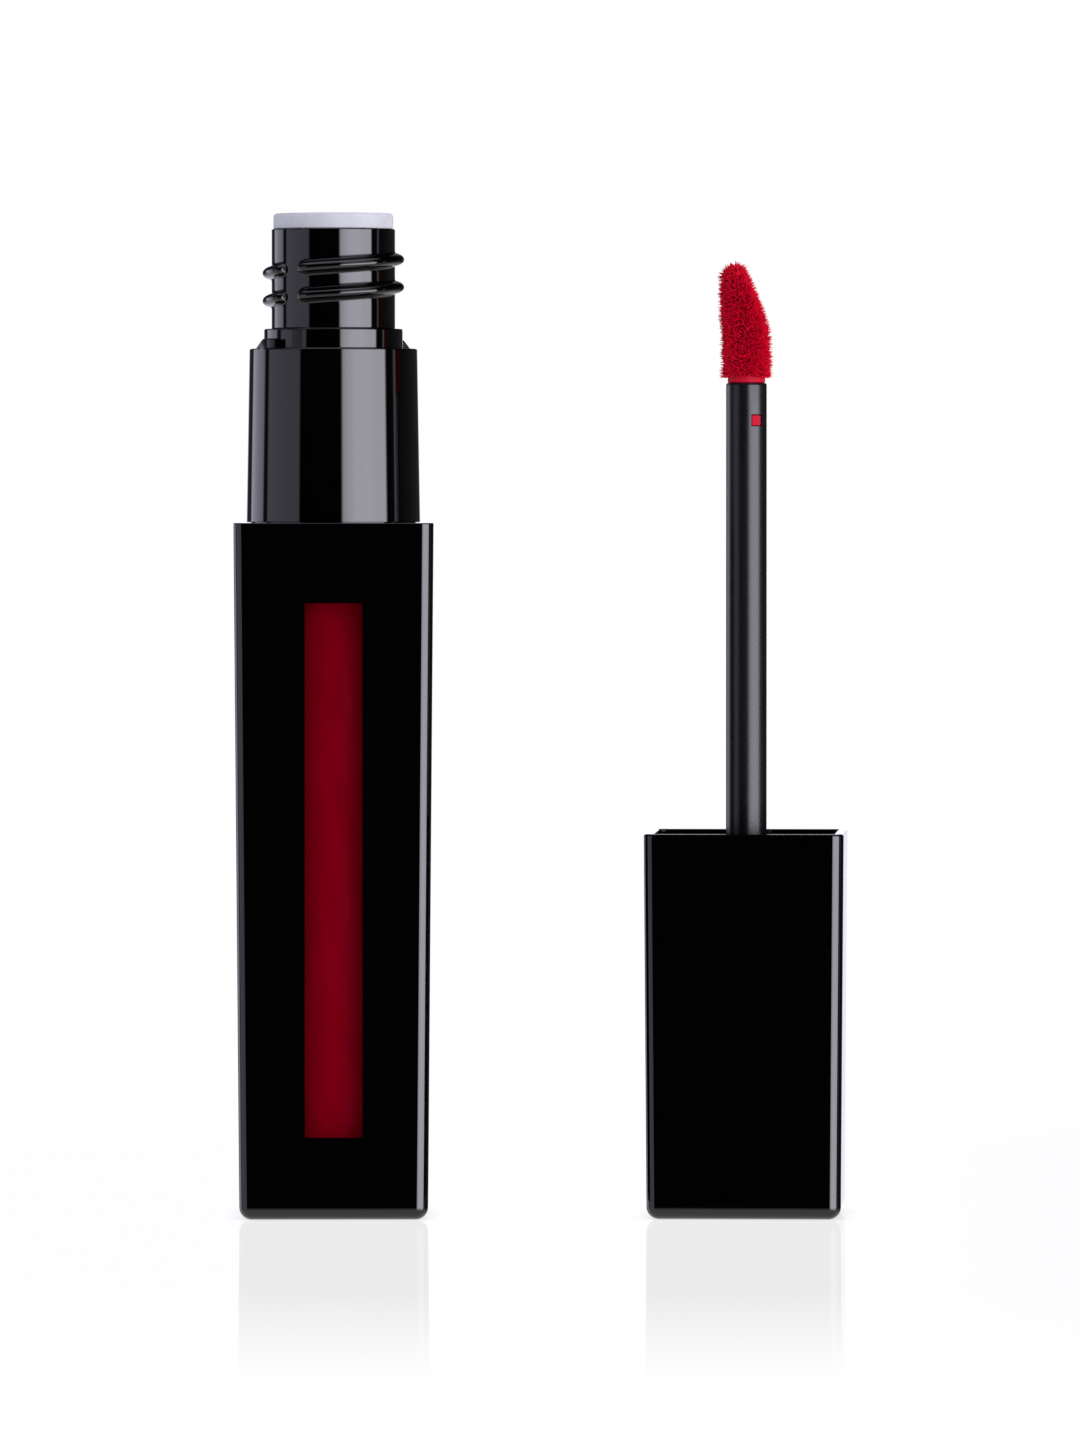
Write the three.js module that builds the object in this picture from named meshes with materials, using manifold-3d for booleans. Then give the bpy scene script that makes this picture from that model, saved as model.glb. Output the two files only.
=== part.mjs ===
// A liquid lip colour case, opened. The square bottle with its round threaded neck stands beside
// its square screw cap, which stands on its closed end with the applicator wand pointing up.
// Millimetres, +Z up, -Y is the front. The origin is the centre of the bottle's base.
// Azimuths are in degrees, from the front towards +X, so they grow anticlockwise seen from above.

import * as THREE from "three";
import { mergeVertices } from "three/addons/utils/BufferGeometryUtils.js";
import Module from "manifold-3d";

const wasm = await Module();
wasm.setup();

// ---------------------------------------------------------------- driving dimensions

const SQUARE_CORNER = 1.2; // upright corners of the bottle case and the cap
const SQUARE_END_FILLET = 1.2; // round edge at the base and at the cap's closed end
const FILLET_CORNER_LEAST = 0.2; // the upright corners never get sharper than this in that edge
const WIDE_HALF = 9.53; // half width where the bottle and the cap meet

const CASE_HEIGHT = 66.4;
const CASE_BASE_HALF = 9.0;
const CASE_BORE = 8.0;
const CASE_FLOOR = 2.0;

const WINDOW_WIDTH = 5.5;
const WINDOW_BOTTOM = 7.8;
const WINDOW_TOP = 58.8;
const WINDOW_GAP = 0.1;

const VIAL_BODY_OUTER = 7.75;
const VIAL_BODY_INNER = 7.0;
const VIAL_BODY_TOP = 59.5; // where the outside steps in; the inside steps in a wall lower
const VIAL_STEP_HEIGHT = 0.7;
const VIAL_NECK_OUTER = 6.7;
const VIAL_NECK_INNER = 5.5;
const VIAL_BASE = 2.3;
const VIAL_TOP = 81.5;
const VIAL_FLOOR = 2.0;
const VIAL_BASE_CHAMFER = 0.8;
const FILL_GAP = 0.1;
const FILL_LEVEL = 62.0;

const SPIGOT_RADIUS = 7.9;
const SPIGOT_BASE = 60.6;
const SPIGOT_BORE = 6.8;
const SPIGOT_BORE_TOP = 81.7;
const SHOULDER_SEAT = 66.45;
const SHOULDER_BASE_RADIUS = 8.325;
const SHOULDER_TOP_RADIUS = 8.05;
const SHOULDER_TOP = 83.05;
const COLLAR_RADIUS = 6.65;
const COLLAR_TOP = 84.95;
const NECK_RADIUS = 5.925;
const NECK_BORE = 4.95;
const NECK_TOP = 94.5;
const NECK_CHAMFER = 0.2;

const PITCH = 2.65;
const BEAD_HEIGHT = 0.875;
const BEAD_HALF = 0.65;
const BEAD_FRONT_Z = 88.3; // height of the bead's centre line at azimuth 0
const BEAD_START = -135;
const BEAD_END = 495;
const PARTING_AZIMUTH = -42; // the bead is interrupted at the mould's two parting lines
const PARTING_HALF_WIDTH = 8;
const BEAD_FADE = 8; // degrees over which an end of the bead tapers

const LUG_HEIGHT = 0.95;
const LUG_FOOT = -68.6;
const LUG_CREST = -57;
const LUG_STOP = -52;

const WIPER_FLANGE_RADIUS = 5.75;
const WIPER_TUBE_RADIUS = 4.85;
const WIPER_BORE = 4.1;
const WIPER_ORIFICE = 2.15;
const WIPER_LOW = 80.0;
const WIPER_CONE_TOP = 84.0; // the tube narrows to its lip below this
const WIPER_LIP_WALL = 0.6;
const WIPER_LIP_HEIGHT = 0.8;
const WIPER_BORE_LOW = 84.4;
const WIPER_MOUTH_FLARE = 0.6;
const WIPER_MOUTH_DEPTH = 0.8;
const WIPER_FLANGE_GAP = 0.05; // between the flange and the neck's top
const WIPER_EDGE_ROUND = 0.5;
const WIPER_TOP = 96.0;

const CAP_SPACING = 39.6;
const CAP_YAW = -3.7; // the cap stands turned a little from square with the bottle
const CAP_HEIGHT = 36.75;
const CAP_END_HALF = 9.275;
const CAP_RIM_GAP = 0.15; // between the cap's rim and the bottle case when closed
const CAP_WALL = 0.95;
const CAP_END_WALL = 1.2;
const CLOSED_HEIGHT = CASE_HEIGHT + CAP_RIM_GAP + CAP_HEIGHT;

const LABEL_RADIUS = 6.0;
const LABEL_LOW = 0.05;
const LABEL_THICKNESS = 0.15;
const LABEL_RECESS_DEPTH = 0.3;
const LABEL_RECESS_GAP = 0.2;

const WEIGHT_RADIUS = 7.5;
const WEIGHT_LOW = 1.5;
const WEIGHT_TOP = 3.3;

const INNER_CAP_LOW = 3.6;
const INNER_CAP_END = 6.0;
const INNER_CAP_TOP = 19.1;
const INNER_CAP_RADIUS = 7.9;
const INNER_CAP_BORE = 6.95;
const FIN_THICKNESS = 1.2;
const FIN_REACH = 10.9;
const FIN_TOP = 15.0;
const FIN_ROOT = 0.3; // how far outside the bore a fin starts, within the wall
const RIDGE_HEIGHT = 0.8;
const RIDGE_ROOT_HALF = 0.45;
const RIDGE_CREST_HALF = 0.25;
const RIDGE_START = -440;
const RIDGE_END = 100;
const RIDGE_FADE = 20; // degrees over which an end of the ridge tapers
const TOOTH_TOP = 20.05;
const TOOTH_START = 35;
const TOOTH_END = 51;
const TOOTH_ROOT = 1; // how deep a tooth is rooted in the inner cap

const STEM_RADIUS = 1.95;
const STEM_BORE = 1.2;
const STEM_TOP = 79.8;
const STEM_FLANGE_RADIUS = 3.2;
const STEM_FLANGE_THICKNESS = 0.9;
const STEM_HOLE_GAP = 0.05;
const STEM_FLANGE_GAP = 0.1;
const STEM_EDGE_ROUND = 0.15;
const SNAP_HEIGHT = 76.2;
const SNAP_AZIMUTH = 33;
const SNAP_WINDOW = 1.15;
const TAB_GAP = 0.15; // how much narrower the tab is than its window
const TAB_ROOT = 0.5;
const TAB_SUNK = 0.07; // below the stem's surface

const SEAL_THICKNESS = 1.0;
const SEAL_RADIUS = 6.3;
const SEAL_CLOSED_GAP = 0.2; // left over the wiper's top when the cap is screwed home
const SCREW_TURN = 720 - CAP_YAW; // brings the cap square with the bottle as it seats
const SCREW_TRAVEL = (PITCH * SCREW_TURN) / 360;

const CORE_NECK_RADIUS = 1.8;
const CORE_NECK_LOW = 79.9;
const CORE_PLUG_LOW = 70.0;
const CORE_PLUG_GAP = 0.05;
const CORE_PLUG_OVERLAP = 0.5;
const TIP_RADIUS = 2.3;
const TIP_LOW = 80.5;
const TIP_TOP = 91.2;
const TIP_SLANT_LOW = 85.2; // where the slanted face leaves the tip's side
const TIP_SLANT_ANGLE = 23.5; // between the slanted face and the wand's axis
const TIP_GAP = 0.06; // between the paddle and the layer
const TIP_LAYER = 0.45; // thickness of the flocked layer over the core's paddle

const FINE_SEGMENTS = 48;
const COARSE_SEGMENTS = 32;
const THREAD_STEP = 9; // degrees of turn between two cross sections of a thread
const THREAD_END_SIZE = 0.2; // share of its full size that a thread starts and ends with
const MERGE_DISTANCE = 1e-4;
const CUT_MARGIN = 1; // how far a cutting solid reaches past the face it opens

// ---------------------------------------------------------------- shape tools

const radians = THREE.MathUtils.degToRad;

// A closed three.js geometry as a solid that can be joined and cut.
function solid(geometry) {
  const bare = geometry.clone();
  bare.deleteAttribute("normal");
  bare.deleteAttribute("uv");
  const merged = mergeVertices(bare, MERGE_DISTANCE);
  return new wasm.Manifold(
    new wasm.Mesh({
      numProp: 3,
      vertProperties: merged.getAttribute("position").array,
      triVerts: new Uint32Array(merged.index.array),
    }),
  );
}

function geometryOf(manifold) {
  const mesh = manifold.getMesh();
  const geometry = new THREE.BufferGeometry();
  geometry.setAttribute("position", new THREE.BufferAttribute(mesh.vertProperties, 3));
  geometry.setIndex(new THREE.BufferAttribute(mesh.triVerts, 1));
  geometry.computeVertexNormals();
  return geometry;
}

// Revolves [radius, height] points about Z. They run anticlockwise with the radius to the right.
function revolve(points, segments) {
  const profile = points.map(([radius, height]) => new THREE.Vector2(radius, height));
  const geometry = new THREE.LatheGeometry(profile, segments);
  geometry.rotateX(Math.PI / 2);
  return solid(geometry);
}

// A profile that doesn't touch the axis closes on its first point.
function revolveRing(points, segments) {
  return revolve([...points, points[0]], segments);
}

function cylinder(radius, low, high, segments) {
  return revolve([[0, low], [radius, low], [radius, high], [0, high]], segments);
}

function box(width, depth, height, x, y, z) {
  const geometry = new THREE.BoxGeometry(width, depth, height);
  geometry.translate(x, y, z);
  return solid(geometry);
}

// A square column with round upright corners: each station is {z, half, corner}.
function squareColumn(stations) {
  const outline = new THREE.Shape();
  const centre = 2; // of the outline's round corners, whose radius is 1
  for (let side = 0; side < 4; side++) {
    const start = (side * Math.PI) / 2;
    const [x, y] = [Math.sign(Math.cos(start + 0.5)), Math.sign(Math.sin(start + 0.5))];
    outline.absarc(centre * x, centre * y, 1, start, start + Math.PI / 2, false);
  }
  const steps = stations.length - 1;
  const geometry = new THREE.ExtrudeGeometry(outline, {
    depth: steps, steps, bevelEnabled: false, curveSegments: 4,
  });
  const at = geometry.getAttribute("position");
  for (let i = 0; i < at.count; i++) {
    const { z, half, corner } = stations[Math.round(at.getZ(i))];
    const [sideX, sideY] = [Math.sign(at.getX(i)), Math.sign(at.getY(i))];
    const x = sideX * (half - corner) + corner * (at.getX(i) - centre * sideX);
    const y = sideY * (half - corner) + corner * (at.getY(i) - centre * sideY);
    at.setXYZ(i, x, y, z);
  }
  return solid(geometry);
}

// Stations of a column that starts with a filleted end at z 0 and widens to its full height.
function filletedStations(endHalf, rimHalf, height) {
  const stations = [];
  for (const turn of [0, 22.5, 45, 67.5, 90]) {
    const z = SQUARE_END_FILLET * (1 - Math.cos(radians(turn)));
    const inset = SQUARE_END_FILLET * (1 - Math.sin(radians(turn)));
    const corner = Math.max(SQUARE_CORNER - inset, FILLET_CORNER_LEAST);
    stations.push({ z, half: endHalf - inset, corner });
  }
  stations.push({ z: height, half: rimHalf, corner: SQUARE_CORNER });
  return stations;
}

// A thread: the profile, x away from the wall and y along the axis, is extruded straight in many
// steps and then wound round the axis. Side is 1 on the outside of a wall and -1 on its inside.
function thread({ profile, wall, side, start, end, frontZ, fade }) {
  const turn = end - start;
  const geometry = new THREE.ExtrudeGeometry(profile, {
    depth: 1, steps: Math.ceil(turn / THREAD_STEP), bevelEnabled: false, curveSegments: 4,
  });
  const at = geometry.getAttribute("position");
  for (let i = 0; i < at.count; i++) {
    const along = at.getZ(i);
    const azimuth = side > 0 ? end - along * turn : start + along * turn;
    const fromEnd = Math.min(azimuth - start, end - azimuth);
    const size = Math.min(1, THREAD_END_SIZE + fromEnd / fade);
    const out = Math.max(at.getX(i), 0) * size + Math.min(at.getX(i), 0);
    const radius = wall + side * out;
    at.setXYZ(
      i,
      radius * Math.sin(radians(azimuth)),
      -radius * Math.cos(radians(azimuth)),
      frontZ + (PITCH * azimuth) / 360 + at.getY(i) * size,
    );
  }
  return solid(geometry);
}

// A sector of a ring between two azimuths, whose top follows topAt(azimuth).
function ringSector({ inner, outer, start, end, low, topAt }) {
  const outline = new THREE.Shape();
  outline.absarc(0, 0, outer, radians(start - 90), radians(end - 90), false);
  outline.absarc(0, 0, inner, radians(end - 90), radians(start - 90), true);
  const geometry = new THREE.ExtrudeGeometry(outline, {
    depth: 1, bevelEnabled: false, curveSegments: 6,
  });
  const at = geometry.getAttribute("position");
  const middle = (start + end) / 2;
  for (let i = 0; i < at.count; i++) {
    const raw = THREE.MathUtils.radToDeg(Math.atan2(at.getX(i), -at.getY(i)));
    const azimuth = middle + THREE.MathUtils.euclideanModulo(raw - middle + 180, 360) - 180;
    at.setZ(i, at.getZ(i) > 0.5 ? topAt(azimuth) : low);
  }
  return solid(geometry);
}

// The foot of the applicator: a domed rod with one slanted face, facing +X, cut inset deep.
function doeFoot(radius, low, high, inset) {
  const dome = [];
  for (let turn = 0; turn <= 90; turn += 22.5) {
    dome.push([radius * Math.cos(radians(turn)), high - radius * (1 - Math.sin(radians(turn)))]);
  }
  dome[dome.length - 1][0] = 0;
  const rod = revolve([[0, low], [radius, low], ...dome], COARSE_SEGMENTS);
  const size = 4 * TIP_RADIUS + TIP_TOP - TIP_LOW;
  const cutter = new THREE.BoxGeometry(size, size, 2 * size);
  cutter.translate(size / 2 - inset, 0, 0);
  cutter.rotateY(-radians(TIP_SLANT_ANGLE));
  cutter.translate(TIP_RADIUS, 0, TIP_SLANT_LOW);
  return rod.subtract(solid(cutter));
}

// ---------------------------------------------------------------- bottle

function windowBlock(gap) {
  const width = WINDOW_WIDTH - 2 * gap;
  const height = WINDOW_TOP - WINDOW_BOTTOM - 2 * gap;
  const depth = 2 * WIDE_HALF - CASE_BORE / 2;
  return box(width, depth, height, 0, -CASE_BORE / 2 - depth / 2, (WINDOW_TOP + WINDOW_BOTTOM) / 2);
}

function caseColumn() {
  return squareColumn(filletedStations(CASE_BASE_HALF, WIDE_HALF, CASE_HEIGHT));
}

function caseBore() {
  return cylinder(CASE_BORE, CASE_FLOOR, CASE_HEIGHT + CUT_MARGIN, FINE_SEGMENTS);
}

function outerCase() {
  return caseColumn().subtract(caseBore()).subtract(windowBlock(0));
}

function windowLens() {
  return caseColumn().intersect(windowBlock(WINDOW_GAP)).subtract(caseBore());
}

// Inside of the vial drawn in by a gap, from the centre of its floor to its neck.
function vialInside(gap) {
  const floor = VIAL_BASE + VIAL_FLOOR + gap;
  const body = VIAL_BODY_INNER - gap;
  const neck = VIAL_NECK_INNER - gap;
  const stepTop = VIAL_BODY_TOP + VIAL_STEP_HEIGHT - (VIAL_BODY_OUTER - VIAL_BODY_INNER) / 2;
  return [
    [0, floor], [body - VIAL_BASE_CHAMFER, floor], [body, floor + VIAL_BASE_CHAMFER],
    [body, stepTop - VIAL_STEP_HEIGHT - gap], [neck, stepTop - gap],
  ];
}

function innerVial() {
  const outside = [
    [0, VIAL_BASE], [VIAL_BODY_OUTER - VIAL_BASE_CHAMFER, VIAL_BASE],
    [VIAL_BODY_OUTER, VIAL_BASE + VIAL_BASE_CHAMFER], [VIAL_BODY_OUTER, VIAL_BODY_TOP],
    [VIAL_NECK_OUTER, VIAL_BODY_TOP + VIAL_STEP_HEIGHT], [VIAL_NECK_OUTER, VIAL_TOP],
    [VIAL_NECK_INNER, VIAL_TOP],
  ];
  return revolve([...outside, ...vialInside(0).reverse()], COARSE_SEGMENTS);
}

function lipColour() {
  const inside = vialInside(FILL_GAP);
  const surface = [[VIAL_NECK_INNER - FILL_GAP, FILL_LEVEL], [0, FILL_LEVEL]];
  return revolve([...inside, ...surface], COARSE_SEGMENTS);
}

function neckThread() {
  const bead = new THREE.Shape();
  bead.moveTo(-BEAD_HALF / 2, -BEAD_HALF);
  bead.absellipse(0, 0, BEAD_HEIGHT, BEAD_HALF, -Math.PI / 2, Math.PI / 2, false);
  bead.lineTo(-BEAD_HALF / 2, BEAD_HALF);
  const run = (start, end) =>
    thread({
      profile: bead, wall: NECK_RADIUS, side: 1,
      start, end, frontZ: BEAD_FRONT_Z, fade: BEAD_FADE,
    });
  let start = BEAD_START;
  let whole = null;
  for (let parting = PARTING_AZIMUTH; start < BEAD_END; parting += 180) {
    const piece = run(start, Math.min(parting - PARTING_HALF_WIDTH, BEAD_END));
    whole = whole ? whole.add(piece) : piece;
    start = parting + PARTING_HALF_WIDTH;
  }
  return whole;
}

// A stop on the shoulder: it ramps up, and its steep face halts the cap's tooth.
function stopLug(half) {
  const shift = half * 180;
  const sunk = LUG_HEIGHT / 2;
  return ringSector({
    inner: NECK_RADIUS,
    outer: SHOULDER_TOP_RADIUS,
    start: LUG_FOOT + shift,
    end: LUG_STOP + shift,
    low: SHOULDER_TOP - sunk,
    topAt: (azimuth) => {
      const climbed = (azimuth - shift - LUG_FOOT) / (LUG_CREST - LUG_FOOT);
      return SHOULDER_TOP + LUG_HEIGHT * THREE.MathUtils.clamp(climbed, 0, 1);
    },
  });
}

function shoulderNeck() {
  const turned = revolveRing(
    [
      [SPIGOT_BORE, SPIGOT_BASE], [SPIGOT_RADIUS, SPIGOT_BASE], [SPIGOT_RADIUS, SHOULDER_SEAT],
      [SHOULDER_BASE_RADIUS, SHOULDER_SEAT], [SHOULDER_TOP_RADIUS, SHOULDER_TOP],
      [COLLAR_RADIUS, SHOULDER_TOP], [COLLAR_RADIUS, COLLAR_TOP - NECK_CHAMFER],
      [COLLAR_RADIUS - NECK_CHAMFER, COLLAR_TOP], [NECK_RADIUS, COLLAR_TOP],
      [NECK_RADIUS, NECK_TOP], [NECK_BORE, NECK_TOP],
      [NECK_BORE, SPIGOT_BORE_TOP], [SPIGOT_BORE, SPIGOT_BORE_TOP],
    ],
    FINE_SEGMENTS,
  );
  return turned.add(neckThread()).add(stopLug(0)).add(stopLug(1));
}

function wiper() {
  const flangeLow = NECK_TOP + WIPER_FLANGE_GAP;
  const eased = 0.3 * WIPER_EDGE_ROUND;
  return revolveRing(
    [
      [WIPER_ORIFICE + WIPER_LIP_WALL, WIPER_LOW], [WIPER_TUBE_RADIUS, WIPER_CONE_TOP],
      [WIPER_TUBE_RADIUS, flangeLow], [WIPER_FLANGE_RADIUS, flangeLow],
      [WIPER_FLANGE_RADIUS, WIPER_TOP - WIPER_EDGE_ROUND],
      [WIPER_FLANGE_RADIUS - eased, WIPER_TOP - eased],
      [WIPER_FLANGE_RADIUS - WIPER_EDGE_ROUND, WIPER_TOP],
      [WIPER_BORE + WIPER_MOUTH_FLARE, WIPER_TOP], [WIPER_BORE, WIPER_TOP - WIPER_MOUTH_DEPTH],
      [WIPER_BORE, WIPER_BORE_LOW], [WIPER_ORIFICE, WIPER_LOW + WIPER_LIP_HEIGHT],
      [WIPER_ORIFICE, WIPER_LOW],
    ],
    COARSE_SEGMENTS,
  );
}

// ---------------------------------------------------------------- cap, standing on its closed end

function capShell() {
  const wallStation = (z) => {
    const half = CAP_END_HALF + ((WIDE_HALF - CAP_END_HALF) * z) / CAP_HEIGHT - CAP_WALL;
    return { z, half, corner: SQUARE_CORNER / 2 };
  };
  const cavity = squareColumn([wallStation(CAP_END_WALL), wallStation(CAP_HEIGHT + CUT_MARGIN)]);
  const recess = cylinder(
    LABEL_RADIUS + LABEL_RECESS_GAP, -CUT_MARGIN, LABEL_RECESS_DEPTH, FINE_SEGMENTS,
  );
  return squareColumn(filletedStations(CAP_END_HALF, WIDE_HALF, CAP_HEIGHT))
    .subtract(cavity)
    .subtract(recess);
}

function endLabel() {
  return cylinder(LABEL_RADIUS, LABEL_LOW, LABEL_LOW + LABEL_THICKNESS, FINE_SEGMENTS);
}

function capWeight() {
  return cylinder(WEIGHT_RADIUS, WEIGHT_LOW, WEIGHT_TOP, COARSE_SEGMENTS);
}

function capThread() {
  const ridge = new THREE.Shape();
  ridge.moveTo(-RIDGE_ROOT_HALF, -RIDGE_ROOT_HALF);
  ridge.lineTo(0, -RIDGE_ROOT_HALF);
  ridge.lineTo(RIDGE_HEIGHT, -RIDGE_CREST_HALF);
  ridge.lineTo(RIDGE_HEIGHT, RIDGE_CREST_HALF);
  ridge.lineTo(0, RIDGE_ROOT_HALF);
  ridge.lineTo(-RIDGE_ROOT_HALF, RIDGE_ROOT_HALF);
  // when closed, the ridge runs half a pitch under the neck's bead
  const frontZ = CLOSED_HEIGHT - (BEAD_FRONT_Z - PITCH / 2);
  return thread({
    profile: ridge, wall: INNER_CAP_BORE, side: -1,
    start: RIDGE_START, end: RIDGE_END, frontZ, fade: RIDGE_FADE,
  });
}

function stopTooth(half) {
  return ringSector({
    inner: INNER_CAP_BORE,
    outer: INNER_CAP_RADIUS,
    start: TOOTH_START + half * 180,
    end: TOOTH_END + half * 180,
    low: INNER_CAP_TOP - TOOTH_ROOT,
    topAt: () => TOOTH_TOP,
  });
}

// A fin in one corner of the square shell holds the round inner cap on the shell's axis.
function cornerFin(corner) {
  const length = FIN_REACH - INNER_CAP_BORE - FIN_ROOT;
  const height = FIN_TOP - INNER_CAP_LOW;
  const fin = new THREE.BoxGeometry(length, FIN_THICKNESS, height);
  fin.translate(FIN_REACH - length / 2, 0, INNER_CAP_LOW + height / 2);
  fin.rotateZ(radians(45 + 90 * corner));
  return solid(fin);
}

function innerCap() {
  const seat = INNER_CAP_LOW + STEM_FLANGE_THICKNESS + 2 * STEM_HOLE_GAP;
  let body = revolveRing(
    [
      [STEM_FLANGE_RADIUS + STEM_FLANGE_GAP, INNER_CAP_LOW], [INNER_CAP_RADIUS, INNER_CAP_LOW],
      [INNER_CAP_RADIUS, INNER_CAP_TOP], [INNER_CAP_BORE, INNER_CAP_TOP],
      [INNER_CAP_BORE, INNER_CAP_END], [STEM_RADIUS + STEM_HOLE_GAP, INNER_CAP_END],
      [STEM_RADIUS + STEM_HOLE_GAP, seat], [STEM_FLANGE_RADIUS + STEM_FLANGE_GAP, seat],
    ],
    FINE_SEGMENTS,
  );
  for (const corner of [0, 1, 2, 3]) {
    body = body.add(cornerFin(corner));
  }
  return body.add(capThread()).add(stopTooth(0)).add(stopTooth(1));
}

function sealLiner() {
  const home = CLOSED_HEIGHT - WIPER_TOP - SEAL_CLOSED_GAP;
  const top = home + SCREW_TRAVEL;
  const hole = STEM_RADIUS + 2 * STEM_HOLE_GAP;
  return revolveRing(
    [
      [hole, top - SEAL_THICKNESS], [SEAL_RADIUS, top - SEAL_THICKNESS],
      [SEAL_RADIUS, top], [hole, top],
    ],
    COARSE_SEGMENTS,
  );
}

// ---------------------------------------------------------------- applicator wand

// A square bar that reaches out from the wand's axis at the snap.
function snapBar(size, near, far) {
  const bar = new THREE.BoxGeometry(size, far - near, size);
  bar.translate(0, -(near + far) / 2, SNAP_HEIGHT);
  bar.rotateZ(radians(SNAP_AZIMUTH));
  return solid(bar);
}

function stem() {
  const low = INNER_CAP_LOW + STEM_HOLE_GAP;
  const flangeTop = low + STEM_FLANGE_THICKNESS;
  return revolveRing(
    [
      [STEM_BORE, low], [STEM_FLANGE_RADIUS, low], [STEM_FLANGE_RADIUS, flangeTop],
      [STEM_RADIUS, flangeTop], [STEM_RADIUS, STEM_TOP - STEM_EDGE_ROUND],
      [STEM_RADIUS - STEM_EDGE_ROUND, STEM_TOP], [STEM_BORE, STEM_TOP],
    ],
    FINE_SEGMENTS,
  ).subtract(snapBar(SNAP_WINDOW, 0, 2 * STEM_RADIUS));
}

function applicatorCore() {
  const plugTop = CORE_NECK_LOW + CORE_PLUG_OVERLAP;
  const plug = cylinder(STEM_BORE - CORE_PLUG_GAP, CORE_PLUG_LOW, plugTop, COARSE_SEGMENTS);
  const paddle = doeFoot(CORE_NECK_RADIUS, CORE_NECK_LOW, TIP_TOP - TIP_LAYER, TIP_LAYER);
  const tab = snapBar(SNAP_WINDOW - TAB_GAP, TAB_ROOT, STEM_RADIUS - TAB_SUNK);
  return paddle.add(plug).add(tab);
}

function flockedTip() {
  const layer = TIP_LAYER - TIP_GAP;
  const pocket = doeFoot(CORE_NECK_RADIUS + TIP_GAP, TIP_LOW - CUT_MARGIN, TIP_TOP - layer, layer);
  return doeFoot(TIP_RADIUS, TIP_LOW, TIP_TOP, 0).subtract(pocket);
}

// ---------------------------------------------------------------- assembly

const BLACK_GLOSS = { color: 0x0b090b, roughness: 0.08, metalness: 0 };
const CLEAR = { color: 0xf2f0f2, roughness: 0.04, metalness: 0, transparent: true, opacity: 0.3 };
const LIP_RED = { color: 0x7a0015, roughness: 0.25, metalness: 0 };
const CORE_RED = { color: 0xb80a2d, roughness: 0.35, metalness: 0 };
const FLOCK_RED = { color: 0x980118, roughness: 0.95, metalness: 0 };
const WIPER_MILK = { color: 0xbfc2cd, roughness: 0.4, metalness: 0 };
const HIDDEN_BLACK = { color: 0x141314, roughness: 0.5, metalness: 0 };
const SEAL_WHITE = { color: 0xe4e2de, roughness: 0.7, metalness: 0 };
const STEEL = { color: 0x8f9196, roughness: 0.35, metalness: 1 };
const LABEL_PAPER = { color: 0xdedcd8, roughness: 0.6, metalness: 0 };

function piece(name, manifold, finish) {
  const mesh = new THREE.Mesh(geometryOf(manifold), new THREE.MeshStandardMaterial(finish));
  mesh.name = name;
  return mesh;
}

const bottle = new THREE.Group();
bottle.add(piece("outer_case", outerCase(), BLACK_GLOSS));
bottle.add(piece("window_lens", windowLens(), CLEAR));
bottle.add(piece("inner_vial", innerVial(), CLEAR));
bottle.add(piece("lip_colour", lipColour(), LIP_RED));
bottle.add(piece("shoulder_neck", shoulderNeck(), BLACK_GLOSS));
bottle.add(piece("wiper", wiper(), WIPER_MILK));

const cap = new THREE.Group();
cap.position.x = CAP_SPACING;
cap.rotation.z = radians(CAP_YAW);
cap.add(piece("cap_shell", capShell(), BLACK_GLOSS));
cap.add(piece("end_label", endLabel(), LABEL_PAPER));
cap.add(piece("cap_weight", capWeight(), STEEL));
cap.add(piece("inner_cap", innerCap(), HIDDEN_BLACK));
cap.add(piece("seal_liner", sealLiner(), SEAL_WHITE));
cap.add(piece("stem", stem(), BLACK_GLOSS));
cap.add(piece("applicator_core", applicatorCore(), CORE_RED));
cap.add(piece("flocked_tip", flockedTip(), FLOCK_RED));

const lipColourCase = new THREE.Group();
lipColourCase.add(bottle, cap);

export default lipColourCase;
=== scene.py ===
import math
import random

import bmesh
import bpy
import numpy as np
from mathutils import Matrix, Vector


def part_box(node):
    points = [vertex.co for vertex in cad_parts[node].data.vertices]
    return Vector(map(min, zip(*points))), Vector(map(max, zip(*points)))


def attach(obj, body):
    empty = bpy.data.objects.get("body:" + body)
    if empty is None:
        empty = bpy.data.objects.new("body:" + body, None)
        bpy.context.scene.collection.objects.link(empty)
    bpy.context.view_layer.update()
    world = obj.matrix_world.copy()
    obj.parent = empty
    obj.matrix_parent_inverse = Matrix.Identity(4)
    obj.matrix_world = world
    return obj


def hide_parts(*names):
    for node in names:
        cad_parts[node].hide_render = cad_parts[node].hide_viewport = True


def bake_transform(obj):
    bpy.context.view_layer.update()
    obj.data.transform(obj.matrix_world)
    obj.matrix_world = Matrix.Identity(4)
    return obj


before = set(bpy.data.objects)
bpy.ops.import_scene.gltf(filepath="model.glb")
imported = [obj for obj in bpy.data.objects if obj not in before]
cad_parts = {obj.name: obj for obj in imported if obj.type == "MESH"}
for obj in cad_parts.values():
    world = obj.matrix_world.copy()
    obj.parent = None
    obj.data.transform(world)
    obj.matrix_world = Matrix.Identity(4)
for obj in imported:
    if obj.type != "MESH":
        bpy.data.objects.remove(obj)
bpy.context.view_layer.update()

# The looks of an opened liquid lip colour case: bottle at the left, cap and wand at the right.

MM = 0.001
NEARLY = 1e-6  # mm, for comparing sizes


# ------------------------------------------------------------------ sizes, in mm

def span(node):
    """Lowest and highest corner of a CAD node, in mm."""
    low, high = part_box(node)
    return np.array(low) / MM, np.array(high) / MM


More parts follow.
